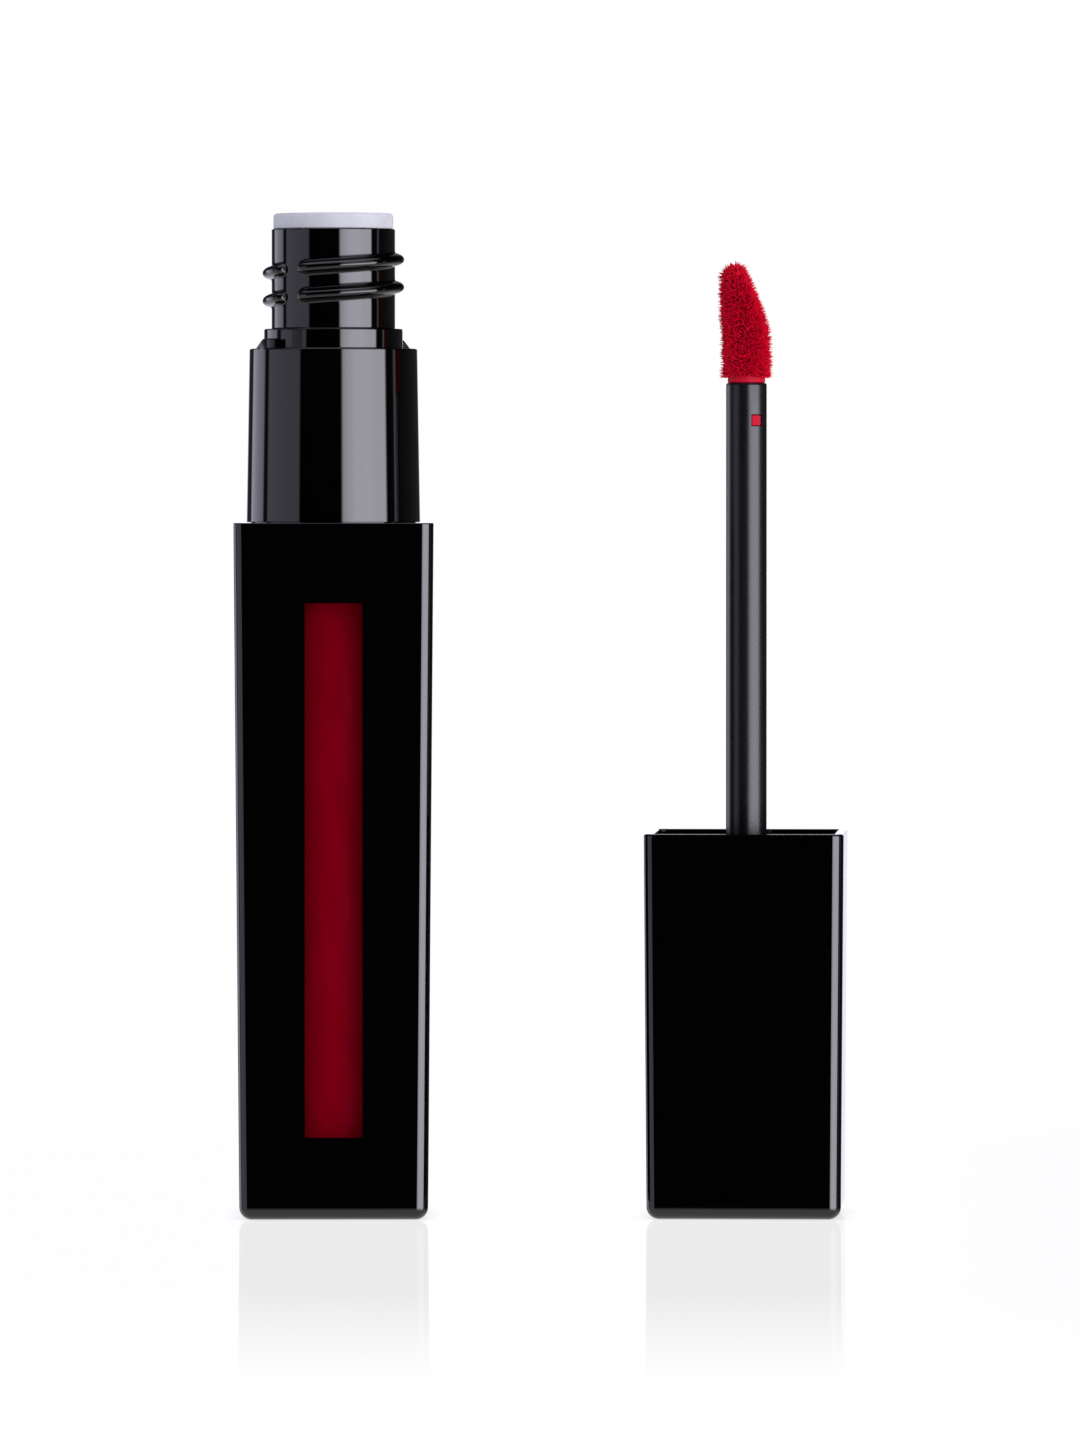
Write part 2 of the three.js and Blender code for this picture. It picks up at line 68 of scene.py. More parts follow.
case_high = span("outer_case")[1]
lens_low, lens_high = span("window_lens")
vial_low, vial_high = span("inner_vial")
fill_high = span("lip_colour")[1]
wiper_low, wiper_high = span("wiper")
shell_high = span("cap_shell")[1]
stem_low, stem_high = span("stem")
tip_low, tip_high = span("flocked_tip")
weight_low, weight_high = span("cap_weight")
label_low, label_high = span("end_label")

WIDE_HALF = case_high[0]
CASE_HEIGHT = case_high[2]
CASE_BASE_HALF = 9.0
EDGE_ROUND = 1.2
END_CORNER_LEAST = EDGE_ROUND / 6
CASE_BORE = 8.0
CASE_FLOOR = 2.0
CASE_RIM_ROUND = 0.12
SLOT_MARGIN = 0.1
WINDOW_HALF = lens_high[0] + SLOT_MARGIN
WINDOW_BOTTOM = lens_low[2] - SLOT_MARGIN
WINDOW_TOP = lens_high[2] + SLOT_MARGIN
PANE_GAP = 0.02
PANE_EASE = 0.02
PANE_FACING = 0.98  # faces squarer to the front than this are clear, the rest are edges
EASE_MIDDLE = 0.3  # share of an eased edge taken at its middle ring

SHOULDER_SEAT = CASE_HEIGHT + 0.05
SHOULDER_TOP = 83.05
SHOULDER_TOP_RADIUS = 8.05
SHOULDER_FOOT_RADIUS = 8.325
SPIGOT_RADIUS = 7.9
SPIGOT_BORE = 6.8
SPIGOT_LOW = 60.6
SPIGOT_BORE_TOP = 81.7
COLLAR_RADIUS = 6.65
COLLAR_TOP = 84.95
NECK_RADIUS = 5.925
NECK_BORE = 4.95
WIPER_FLANGE_HEIGHT = 1.5
NECK_TOP = wiper_high[2] - WIPER_FLANGE_HEIGHT
PITCH = 2.65
BEAD_FRONT_Z = 88.3
BEAD_RUN = (-135, 495)
PARTING_AZIMUTH = -42
PARTING_HALF_WIDTH = 8

CAP_X = (stem_low[0] + stem_high[0]) / 2
CAP_YAW = math.radians(-3.7)
CAP_HEIGHT = shell_high[2]
CAP_END_HALF = 9.275
CAP_WALL = 0.95
CAP_END_WALL = 1.2
CLOSED_HEIGHT = CASE_HEIGHT + 0.15 + CAP_HEIGHT
INNER_CAP_LOW = 3.6
INNER_CAP_FLOOR = 6.0
INNER_CAP_TOP = 19.1
INNER_CAP_BORE = 6.95
INNER_CAP_SKIRT = 7.9
STEM_HOLE = 2.0
STEM_SEAT_RADIUS = 3.3
STEM_SEAT_TOP = 4.6
TOOTH_LOW = 18.0
TOOTH_TOP = 20.05
TOOTH_RUN = (35, 51)
TOOTH_SINK = 0.02
FIN_REACH = 10.9
FIN_HALF = 0.6
FIN_EASE = 0.2
FIN_TOP = 15.0

STEM_RADIUS = 1.95
STEM_BORE = 1.2
STEM_FLANGE_RADIUS = 3.2
STEM_FLANGE_HEIGHT = 0.9
STEM_TOP = stem_high[2]
SNAP_HEIGHT = 76.2
SNAP_AZIMUTH = math.radians(33)
SNAP_WINDOW = 1.15

TIP_TOP = tip_high[2]
TIP_LOW = tip_low[2]
TIP_RADIUS = 2.26
TIP_SLANT_LOW = 85.2
FOOT_LEAN = 0.22
FOOT_DOME_LOW = 89.8
FOOT_EDGE_EASE = 0.32
TIP_SLANT = math.tan(math.radians(23.5))
FLOCK_LOW = TIP_LOW - 0.15
FIBRE_LENGTH = 0.56
FOOT_SIDES = 72
PADDLE_INSET = 0.62
PADDLE_TOP = 90.2
WETTED_INDEX = 1.04  # the vial mirrors little where product and pane touch its wall


# ------------------------------------------------------------------ mesh tools

def new_piece(name, points, faces, place=(0, 0), turn=0.0):
    """A mesh object from points in mm, turned about Z and moved to its axis."""
    points = np.array(points, float)
    cos, sin = math.cos(turn), math.sin(turn)
    x = points[:, 0] * cos - points[:, 1] * sin + place[0]
    y = points[:, 0] * sin + points[:, 1] * cos + place[1]
    mesh = bpy.data.meshes.new(name)
    mesh.from_pydata(np.stack([x, y, points[:, 2]], 1) * MM, [], faces)
    mesh.validate()
    piece = bpy.data.objects.new(name, mesh)
    bpy.context.scene.collection.objects.link(piece)
    return piece


def bake_modifiers(piece):
    depsgraph = bpy.context.evaluated_depsgraph_get()
    mesh = bpy.data.meshes.new_from_object(piece.evaluated_get(depsgraph), depsgraph=depsgraph)
    piece.modifiers.clear()
    piece.data = mesh


def combine(piece, others, operation):
    """Joins the other solids to the piece, or cuts them from it, and removes them."""
    for other in others:
        step = piece.modifiers.new("combine", "BOOLEAN")
        step.operation = operation
        step.object = other
        step.solver = "MANIFOLD"
        bpy.context.view_layer.update()
        bake_modifiers(piece)
        bpy.data.objects.remove(other)


def shade(piece, sharp_degrees):
    """Smooth shading with crisp edges past the angle, and flat faces that reflect flat."""
    piece.data.shade_smooth()
    piece.data.set_sharp_from_angle(angle=math.radians(sharp_degrees))
    weighted = piece.modifiers.new("weighted normals", "WEIGHTED_NORMAL")
    weighted.keep_sharp = True
    weighted.weight = 80


def rounded(corners, steps=6, closed=True):
    """An outline through (radius, height[, fillet]) corners, each fillet drawn as an arc."""
    outline = []
    count = len(corners)
    for i, corner in enumerate(corners):
        here = Vector(corner[:2])
        fillet = corner[2] if len(corner) > 2 else 0
        if not fillet or (not closed and i in (0, count - 1)):
            outline.append(here)
            continue
        back = (Vector(corners[i - 1][:2]) - here).normalized()
        ahead = (Vector(corners[(i + 1) % count][:2]) - here).normalized()
        half = back.angle(ahead) / 2
        centre = here + (back + ahead).normalized() * fillet / math.sin(half)
        first = here + back * fillet / math.tan(half) - centre
        last = here + ahead * fillet / math.tan(half) - centre
        sweep = first.angle_signed(last)
        for k in range(steps + 1):
            turn = -sweep * k / steps
            cos, sin = math.cos(turn), math.sin(turn)
            outline.append(centre + Vector((first.x * cos - first.y * sin,
                                            first.x * sin + first.y * cos)))
    return outline


def lathe(outline, azimuths, closed):
    """Points and faces of an outline turned about its axis, with a column at each azimuth."""
    points, faces, rings = [], [], []
    count = len(azimuths)
    for radius, height in outline:
        if radius < NEARLY:
            rings.append([len(points)] * count)
            points.append((0, 0, height))
            continue
        rings.append(list(range(len(points), len(points) + count)))
        points += [(radius * math.sin(a), -radius * math.cos(a), height) for a in azimuths]
    for low, high in zip(rings, rings[1:] + rings[:1] if closed else rings[1:]):
        for k in range(count):
            n = (k + 1) % count
            face = dict.fromkeys((low[k], low[n], high[n], high[k]))
            if len(face) > 2:
                faces.append(tuple(face))
    return points, faces


def revolve(name, outline, segments=128, closed=True, place=(0, 0)):
    """A turned piece. An open outline starts and ends on the axis."""
    azimuths = [2 * math.pi * k / segments for k in range(segments)]
    return new_piece(name, *lathe(outline, azimuths, closed), place)


def loft(rings, skip=lambda level, side: False):
    """Quads between rings of equal length, with both ends filled: returns points and faces."""
    count = len(rings[0])
    points = [point for ring in rings for point in ring]
    faces = []
    for level in range(len(rings) - 1):
        for side in range(count):
            if skip(level, side):
                continue
            a, b = level * count + side, level * count + (side + 1) % count
            faces.append((a, b, b + count, a + count))
    faces.append(tuple(reversed(range(count))))
    faces.append(tuple(range(len(points) - count, len(points))))
    return points, faces


FRONT_FLAT_STEPS = 4
FRONT_WINDOW_STEPS = 8
SIDE_STEPS = 12
WINDOW_ROWS = 8
CORNER_STEPS = 12


def square_ring(half, corner, z):
    """A rounded square, anticlockwise from the front's left end, with a split at the window."""
    flat = half - corner
    front = np.concatenate([
        np.linspace(-flat, -WINDOW_HALF, FRONT_FLAT_STEPS, endpoint=False),
        np.linspace(-WINDOW_HALF, WINDOW_HALF, FRONT_WINDOW_STEPS, endpoint=False),
        np.linspace(WINDOW_HALF, flat, FRONT_FLAT_STEPS + 1),
    ])
    ring = [(x, -half, z) for x in front]
    for quarter in range(4):
        start = math.radians(90 * quarter - 90)
        out = Vector((math.cos(start + math.pi / 4), math.sin(start + math.pi / 4)))
        centre = Vector((math.copysign(flat, out.x), math.copysign(flat, out.y)))
        for k in range(1, CORNER_STEPS + 1):
            turn = start + math.pi / 2 * k / CORNER_STEPS
            ring.append((centre.x + corner * math.cos(turn),
                         centre.y + corner * math.sin(turn), z))
        if quarter == 3:
            break
        along = Vector((-math.sin(start + math.pi / 2), math.cos(start + math.pi / 2)))
        corner_end = Vector(ring[-1][:2])
        for k in range(1, SIDE_STEPS + 1):
            point = corner_end + along * 2 * flat * k / SIDE_STEPS
            ring.append((point.x, point.y, z))
    return ring[:-1]


def circle_ring(radius, z):
    """A circle with one point for each point of a square ring, true to the window's sides."""
    ring = []
    for x, y, _ in square_ring(WIDE_HALF, EDGE_ROUND, z):
        if y <= -WIDE_HALF + NEARLY and abs(x) <= WINDOW_HALF + NEARLY:
            ring.append((x, -math.sqrt(radius ** 2 - x ** 2), z))
            continue
        turn = math.atan2(x, -y)
        ring.append((radius * math.sin(turn), -radius * math.cos(turn), z))
    return ring


def square_end_rings(end_half, steps=10):
    """Rings of a square column from its flat end up to the top of its end fillet."""
    rings = []
    for k in range(steps + 1):
        turn = math.pi / 2 * k / steps
        inset = EDGE_ROUND * (1 - math.sin(turn))
        corner = max(EDGE_ROUND - inset, END_CORNER_LEAST)
        rings.append(square_ring(end_half - inset, corner, EDGE_ROUND * (1 - math.cos(turn))))
    return rings


def half_at(z, end_half, height):
    """Half width of a drafted square column, widest at its rim."""
    return end_half + (WIDE_HALF - end_half) * z / height


# ------------------------------------------------------------------ material tools

class Surface:
    """A node material, with short calls for the nodes that the finishes below share."""

    def __init__(self, name):
        self.material = bpy.data.materials.new(name)
        self.material.use_nodes = True
        self.tree = self.material.node_tree
        self.shader = self.tree.nodes["Principled BSDF"]
        self.output = self.tree.nodes["Material Output"]
        self.place = self.add("ShaderNodeTexCoord").outputs["Object"]

    def add(self, kind, **settings):
        node = self.tree.nodes.new(kind)
        for key, value in settings.items():
            setattr(node, key, value)
        return node

    def feed(self, node, **inputs):
        for key, value in inputs.items():
            socket = node.inputs[key.replace("_", " ")]
            if isinstance(value, bpy.types.NodeSocket):
                self.tree.links.new(value, socket)
            else:
                socket.default_value = value
        return node

    def noise(self, per_mm, detail, stretch=(1, 1, 1)):
        mapping = self.feed(self.add("ShaderNodeMapping"), Vector=self.place)
        mapping.inputs["Scale"].default_value = [per_mm / MM * s for s in stretch]
        noise = self.add("ShaderNodeTexNoise")
        self.feed(noise, Vector=mapping.outputs[0], Scale=1.0, Detail=detail, Roughness=0.5)
        return noise.outputs["Fac"]

    def spread(self, value, low, high, start=0.3, end=0.7):
        node = self.add("ShaderNodeMapRange")
        self.feed(node, Value=value)
        limits = {"From Min": start, "From Max": end, "To Min": low, "To Max": high}
        for key, number in limits.items():
            node.inputs[key].default_value = number
        return node.outputs["Result"]

    def blend(self, value, first, second):
        node = self.add("ShaderNodeMix", data_type="RGBA")
        self.tree.links.new(value, node.inputs["Factor"])
        colours = [socket for socket in node.inputs if socket.type == "RGBA"]
        for socket, colour in zip(colours, (first, second)):
            socket.default_value = (*colour, 1)
        return next(socket for socket in node.outputs if socket.type == "RGBA")

    def mottle(self, value, first, second):
        """A colour that drifts from the first to the second with a noise."""
        return self.blend(self.spread(value, 0, 1), first, second)

    def mix_shaders(self, share, first, second):
        node = self.add("ShaderNodeMixShader")
        self.tree.links.new(share, node.inputs[0])
        self.tree.links.new(first.outputs[0], node.inputs[1])
        self.tree.links.new(second.outputs[0], node.inputs[2])
        return node

    def bump(self, height, depth_mm):
        node = self.add("ShaderNodeBump")
        self.feed(node, Height=height, Distance=depth_mm * MM, Strength=1.0)
        self.tree.links.new(node.outputs["Normal"], self.shader.inputs["Normal"])

    def set(self, **inputs):
        self.feed(self.shader, **inputs)


def finish_piece(piece, surface, body, node=None, sharp_degrees=35):
    """Shades a piece, gives it its material and puts it on its CAD body."""
    shade(piece, sharp_degrees)
    piece.data.materials.clear()
    piece.data.materials.append(surface.material)
    if body:
        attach(piece, body)
    if node:
        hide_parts(node)


# ------------------------------------------------------------------ materials

def gloss_black(name, roughness):
    """Polished black moulding with faint smudges and a slow surface wave."""
    s = Surface(name)
    smudge = s.noise(0.35, detail=4)
    tone = 0.0004
    s.set(
        Base_Color=s.mottle(smudge, (tone,) * 3, (tone * 1.6, tone * 1.4, tone * 1.7)),
        Roughness=s.spread(smudge, roughness * 0.8, roughness * 1.3),
        IOR=1.5,
    )
    s.bump(s.noise(0.9, detail=1), 0.0006)
    return s


def satin_black(name):
    """Stem plastic: glossy but softer, drawn lengthwise."""
    s = Surface(name)
    drawn = s.noise(2.2, detail=3, stretch=(1, 1, 0.05))
    s.set(
        Base_Color=s.mottle(drawn, (0.0012, 0.001, 0.0014), (0.003, 0.0026, 0.0034)),
        Roughness=s.spread(s.noise(14, detail=1), 0.24, 0.33),
        IOR=1.45,
    )
    s.bump(drawn, 0.0012)
    return s


def slot_black(name):
    """The slot's walls, which meet the pane and so mirror nothing."""
    s = Surface(name)
    grain = s.noise(2, detail=2)
    s.set(
        Base_Color=s.mottle(grain, (0.0006, 0.0005, 0.0006), (0.001, 0.0008, 0.001)),
        Roughness=0.9,
        Specular_IOR_Level=0.0,
    )
    return s


def moulded_black(name):
    s = Surface(name)
    grain = s.noise(6, detail=3)
    s.set(
        Base_Color=s.mottle(grain, (0.007, 0.0065, 0.008), (0.012, 0.011, 0.013)),
        Roughness=s.spread(grain, 0.38, 0.52),
    )
    s.bump(grain, 0.004)
    return s


def clear_plastic(name, tint, index):
    """Thin clear plastic: light passes straight through, and its outer faces mirror the room."""
    s = Surface(name)
    fresnel = s.feed(s.add("ShaderNodeFresnel"), IOR=index)
    outer = s.add("ShaderNodeMath", operation="SUBTRACT", use_clamp=True)
    s.tree.links.new(fresnel.outputs[0], outer.inputs[0])
    s.tree.links.new(s.add("ShaderNodeNewGeometry").outputs["Backfacing"], outer.inputs[1])
    smear = s.noise(0.5, detail=3)
    clear = s.feed(s.add("ShaderNodeBsdfTransparent"), Color=(*tint, 1))
    gloss = s.feed(s.add("ShaderNodeBsdfGlossy"), Roughness=s.spread(smear, 0.015, 0.035))
    mix = s.mix_shaders(outer.outputs[0], clear, gloss)
    s.tree.links.new(mix.outputs[0], s.output.inputs["Surface"])
    s.tree.nodes.remove(s.shader)
    return s


def lip_cream(name):
    """The product: thick red cream, slightly streaked where it clings to the vial."""
    s = Surface(name)
    streak = s.noise(0.6, detail=4, stretch=(1, 1, 0.25))
    s.set(
        Base_Color=s.mottle(streak, (0.225, 0.0, 0.007), (0.268, 0.0003, 0.0094)),
        Roughness=s.spread(streak, 0.5, 0.65),
        Subsurface_Weight=0.15,
        Subsurface_Scale=0.0008,
        Specular_IOR_Level=0.0,
    )
    s.bump(streak, 0.02)
    return s


def milky_plastic(name):
    """Soft translucent wiper plastic."""
    s = Surface(name)
    cloud = s.noise(0.8, detail=3)
    s.set(
        Base_Color=s.mottle(cloud, (0.365, 0.369, 0.384), (0.41, 0.414, 0.43)),
        Roughness=s.spread(cloud, 0.5, 0.6),
        Subsurface_Weight=0.6,
        Subsurface_Scale=0.0012,
        Subsurface_Radius=(1.0, 1.0, 1.1),
        Specular_IOR_Level=0.25,
    )
    s.bump(s.noise(3, detail=2), 0.003)
    return s


def core_red(name):
    s = Surface(name)
    cloud = s.noise(2.5, detail=2)
    s.set(
        Base_Color=s.mottle(cloud, (0.33, 0.0008, 0.012), (0.40, 0.0015, 0.018)),
        Roughness=s.spread(cloud, 0.5, 0.62),
        Subsurface_Weight=0.2,
        Subsurface_Scale=0.0005,
        Specular_IOR_Level=0.1,
    )
    s.bump(cloud, 0.004)
    return s


def flock_fibre(name):
    """Velvety crimson fibre, wet with product: each clump has its own tone, darker at its root as
    painted shade and lighter at its tip as painted light.
    """
    s = Surface(name)
    tone_and_painted_shade_of = s.add("ShaderNodeAttribute", attribute_name="clump_tone_and_painted_shade")
    wet = s.noise(1.4, detail=2)
    s.set(
        Base_Color=s.blend(tone_and_painted_shade_of.outputs["Fac"], (0.24, 0.0, 0.005), (0.72, 0.0005, 0.026)),
        Roughness=s.spread(wet, 0.5, 0.75),
        Sheen_Weight=0.08,
        Sheen_Roughness=0.4,
        Sheen_Tint=(1.0, 0.02, 0.22, 1),
        Specular_IOR_Level=0.08,
    )
    return s


def flock_base(name):
    s = Surface(name)
    nap = s.noise(7, detail=2)
    # Darker than the fibres: painted shade of the deep nap in the gaps between the clumps.
    s.set(
        Base_Color=s.mottle(nap, (0.14, 0.0, 0.003), (0.26, 0.0, 0.008)),
        Roughness=0.9,
        Specular_IOR_Level=0.0,
    )
    s.bump(nap, 0.12)
    return s


def seal_foam(name):
    s = Surface(name)
    cells = s.noise(9, detail=2)
    s.set(
        Base_Color=s.mottle(cells, (0.66, 0.64, 0.60), (0.80, 0.78, 0.75)),
        Roughness=0.7,
    )
    s.bump(cells, 0.02)
    return s


def stamped_steel(name):
    s = Surface(name)
    grain = s.noise(5, detail=3, stretch=(1, 0.08, 1))
    s.set(
        Base_Color=s.mottle(grain, (0.40, 0.41, 0.43), (0.52, 0.53, 0.55)),
        Metallic=1.0,
        Roughness=s.spread(grain, 0.28, 0.42),
    )
    s.bump(grain, 0.004)
    return s


def label_film(name):
    s = Surface(name)
    fibre = s.noise(4, detail=4)
    s.set(
        Base_Color=s.mottle(fibre, (0.68, 0.67, 0.65), (0.76, 0.75, 0.73)),
        Roughness=s.spread(fibre, 0.45, 0.6),
    )
    s.bump(fibre, 0.003)
    return s


# ------------------------------------------------------------------ bottle

def build_case():
    """The square case: one closed shell with its bore, and the window cut through its front."""
    rim = CASE_RIM_ROUND
    outer = square_end_rings(CASE_BASE_HALF)
    window_heights = np.linspace(WINDOW_BOTTOM, WINDOW_TOP, WINDOW_ROWS + 1)[1:]
    heights = [WINDOW_BOTTOM, *window_heights, CASE_HEIGHT - rim]
    outer += [square_ring(half_at(z, CASE_BASE_HALF, CASE_HEIGHT), EDGE_ROUND, z) for z in heights]
    for turn in (math.pi / 6, math.pi / 3, math.pi / 2):
        outer.append(square_ring(WIDE_HALF - rim * (1 - math.cos(turn)), EDGE_ROUND,
                                 CASE_HEIGHT - rim * (1 - math.sin(turn))))
    inner_heights = [CASE_HEIGHT, *reversed(heights[:-1]), CASE_FLOOR]
    rings = outer + [circle_ring(CASE_BORE, z) for z in inner_heights]
    at_height = [ring[0][2] for ring in rings]
    last_outer = len(outer) - 1
    window_columns = range(FRONT_FLAT_STEPS, FRONT_FLAT_STEPS + FRONT_WINDOW_STEPS)

    def in_window(level, side):
        middle = (at_height[level] + at_height[level + 1]) / 2
        return (level != last_outer and side in window_columns
                and WINDOW_BOTTOM < middle < WINDOW_TOP)

    points, faces = loft(rings, in_window)
    count = len(rings[0])
    outside = [i for i in range(last_outer)
               if WINDOW_BOTTOM - NEARLY <= at_height[i] <= WINDOW_TOP + NEARLY]
    inside = [len(rings) - 2 - k for k in range(len(outside))]
    left, right = window_columns[0], window_columns[-1] + 1
    first_slot_face = len(faces)
    for k in range(len(outside) - 1):
        a, b = outside[k] * count, outside[k + 1] * count
        c, d = inside[k] * count, inside[k + 1] * count
        faces.append((a + left, b + left, d + left, c + left))
        faces.append((a + right, c + right, d + right, b + right))
    for side in window_columns:
        a, c = outside[0] * count + side, inside[0] * count + side
        faces.append((a, a + 1, c + 1, c)[::-1])
        a, c = outside[-1] * count + side, inside[-1] * count + side
        faces.append((a, a + 1, c + 1, c))
    piece = new_piece("case_shell", points, faces)
    finish_piece(piece, gloss_black("case gloss black", 0.03), "bottle", "outer_case")
    piece.data.materials.append(slot_black("window slot black").material)
    for polygon in piece.data.polygons[first_slot_face:]:
        polygon.material_index = 1


def build_window():
    """The clear pane: its front face follows the case's draft and its edges are eased."""
    gap, ease = PANE_GAP, PANE_EASE
    wide, low, high = WINDOW_HALF - gap, WINDOW_BOTTOM + gap, WINDOW_TOP - gap

    def ring(depth, inset):
        x = wide - inset
        spots = [(-x, low + inset), (x, low + inset), (x, high - inset), (-x, high - inset)]
        return [(px, -half_at(pz, CASE_BASE_HALF, CASE_HEIGHT) + depth, pz) for px, pz in spots]

    def back_ring():
        spots = [(-wide, low), (wide, low), (wide, high), (-wide, high)]
        return [(px, -CASE_BORE, pz) for px, pz in spots]

    points, faces = loft([back_ring(), ring(ease, 0), ring(ease * EASE_MIDDLE, ease * EASE_MIDDLE),
                          ring(0, ease)])
    piece = new_piece("window_pane", points, faces)
    finish_piece(piece, clear_plastic("window clear", (0.99, 0.985, 0.985), 1.46),
                 "bottle", "window_lens", 20)
    piece.data.materials.append(slot_black("pane edge black").material)
    for polygon in piece.data.polygons:
        polygon.material_index = 0 if abs(polygon.normal.y) > PANE_FACING else 1


VIAL_WALL = 0.75
VIAL_NECK_OUTER = 6.7
VIAL_NECK_INNER = 5.5
VIAL_FLOOR = 2.0
VIAL_STEP = 59.5
VIAL_STEP_HEIGHT = 0.7


def vial_inside(gap):
    """The vial's inside drawn in by a gap, from the centre of its floor up to its neck."""
    body = vial_high[0] - VIAL_WALL - gap
    neck = VIAL_NECK_INNER - gap
    floor = vial_low[2] + VIAL_FLOOR + gap
    step = VIAL_STEP - VIAL_WALL / 2 - gap
    return [(0, floor), (body, floor, 0.9), (body, step, 0.5), (neck, step + VIAL_STEP_HEIGHT, 0.5)]


def build_vial():
    outer = vial_high[0]
    low, high = vial_low[2], vial_high[2]
    outline = rounded([
        (0, low), (outer, low, 0.9), (outer, VIAL_STEP, 0.6),
        (VIAL_NECK_OUTER, VIAL_STEP + VIAL_STEP_HEIGHT, 0.4), (VIAL_NECK_OUTER, high, 0.15),
        (VIAL_NECK_INNER, high, 0.15), *reversed(vial_inside(0)),
    ], closed=False)
    piece = revolve("vial", outline, closed=False)
    finish_piece(piece, clear_plastic("vial clear", (0.985, 0.975, 0.975), WETTED_INDEX),
                 "bottle", "inner_vial")


def build_fill():
    """The product, with its edge drawn up the vial's wall by the last dip."""
    rim = VIAL_NECK_INNER - 0.1
    level = fill_high[2]
    outline = rounded([
        *vial_inside(0.1), (rim, level, 0.05), (rim - 0.25, level - 0.1, 0.1),
        (rim - 0.9, level - 0.75, 0.6), (0, level - 0.9),
    ], closed=False)
    piece = revolve("product_fill", outline, closed=False)
    finish_piece(piece, lip_cream("lip colour cream"), "bottle", "lip_colour")


BEAD_HALF = 0.63
BEAD_HEIGHT = 0.875
BEAD_FADE = 9
BEAD_ROWS = [0.1, 0.2, 0.3, 0.38, 0.44, 0.49, 0.53, 0.56, 0.58, 0.6, 0.64, 0.68, 0.74, 0.82, 1.03]


def bead_ends():
    """Azimuths, in degrees along the winding, where each span of the bead starts and stops."""
    spans = []
    start, parting = BEAD_RUN[0], PARTING_AZIMUTH
    while start < BEAD_RUN[1]:
        spans.append((start, min(parting - PARTING_HALF_WIDTH, BEAD_RUN[1])))
        start = parting + PARTING_HALF_WIDTH
        parting += 180
    return spans


def bead_height(across, along, spans):
    """How far the bead stands out of the neck: a full round crest with flared roots."""
    room = max(min(along - start, end - along) for start, end in spans)
    if room <= 0:
        return 0.0
    edge = min(1.0, room / BEAD_FADE)
    size = 0.12 + 0.88 * math.sqrt(1 - (1 - edge) ** 2)
    reach = abs(across) / (0.45 + 0.55 * size)
    share = reach / BEAD_HALF
    hump = BEAD_HEIGHT * (1 - share ** 2.3) ** 0.7 if share < 1 else 0.0
    flare = 0.2 * max(0.0, 1 - max(0.0, reach - 0.48) / 0.32) ** 1.6
    return size * max(hump, flare)


def neck_azimuths(spans):
    """Columns round the neck in degrees, closer together where the bead's spans end."""
    columns = set(range(-180, 181, 3))
    for start, end in spans:
        for offset in (-0.2, 0, 0.25, 0.6, 1.2, 2.2, 3.6, 5.5):
            for azimuth in (start + offset, end - offset):
                columns.add(round((azimuth + 180) % 360 - 180, 3))
    return sorted(columns)


def threaded_wall(low, high, azimuths, spans):
    """The neck's outer wall with its bead: rows follow the winding and stop at both ends."""
    across = [-v for v in reversed(BEAD_ROWS)] + [0] + BEAD_ROWS + [PITCH / 2]
    rows = [(turn, v) for turn in range(-3, 5) for v in across]
    points, faces = [], []
    for turn, v in rows:
        for azimuth in azimuths:
            z = BEAD_FRONT_Z + PITCH * (azimuth / 360 + turn) + v
            radius = NECK_RADIUS + bead_height(v, azimuth + 360 * turn, spans)
            a = math.radians(azimuth)
            points.append((radius * math.sin(a), -radius * math.cos(a), min(max(z, low), high)))
    count = len(azimuths)
    for row in range(len(rows) - 1):
        for k in range(count - 1):
            a = row * count + k
            face = (a, a + 1, a + 1 + count, a + count)
            if len({round(points[i][2], 6) for i in face}) > 1:
                faces.append(face)
    return points, faces


RIDGE_RUN = (-440, 100)
RIDGE_FADE = 20
RIDGE_STEP = 2.5
RIDGE_PROFILE = [  # (out, along): a blunt trapezium
    (-0.3, -0.45), (0.0, -0.45), (0.35, -0.36), (0.68, -0.27), (0.77, -0.2),
    (0.8, -0.1), (0.8, 0.1), (0.77, 0.2), (0.68, 0.27), (0.35, 0.36), (0.0, 0.45), (-0.3, 0.45),
]


def build_ridge(place):
    """The cap's thread ridge, wound round the inside of its bore and faded at both ends."""
    start, end = RIDGE_RUN
    front_z = CLOSED_HEIGHT - (BEAD_FRONT_Z - PITCH / 2)
    steps = int((end - start) / RIDGE_STEP)
    rings = []
    for k in range(steps + 1):
        azimuth = start + (end - start) * k / steps
        edge = min(1.0, min(azimuth - start, end - azimuth) / RIDGE_FADE)
        size = 0.12 + 0.88 * math.sqrt(max(0.0, 1 - (1 - edge) ** 2))
        a = math.radians(azimuth)
        ring = []
        for out, along in RIDGE_PROFILE:
            radius = INNER_CAP_BORE - (out * size if out > 0 else out)
            rise = front_z + PITCH * azimuth / 360 + along * (0.45 + 0.55 * size)
            ring.append((radius * math.sin(a), -radius * math.cos(a), rise))
        rings.append(ring)
    return new_piece("ridge", *loft(rings), place, CAP_YAW)


LUG_INSIDE = 6.2
LUG_OUTSIDE = 8.045
LUG_SINK = 0.4
LUG_HEIGHTS = [  # (degrees round from the front, height over the shoulder)
    (-68.6, 0.0), (-66, 0.17), (-60, 0.7), (-58, 0.87), (-57, 0.93), (-56, 0.95), (-53, 0.95),
    (-52.4, 0.92), (-52, 0.84),
]


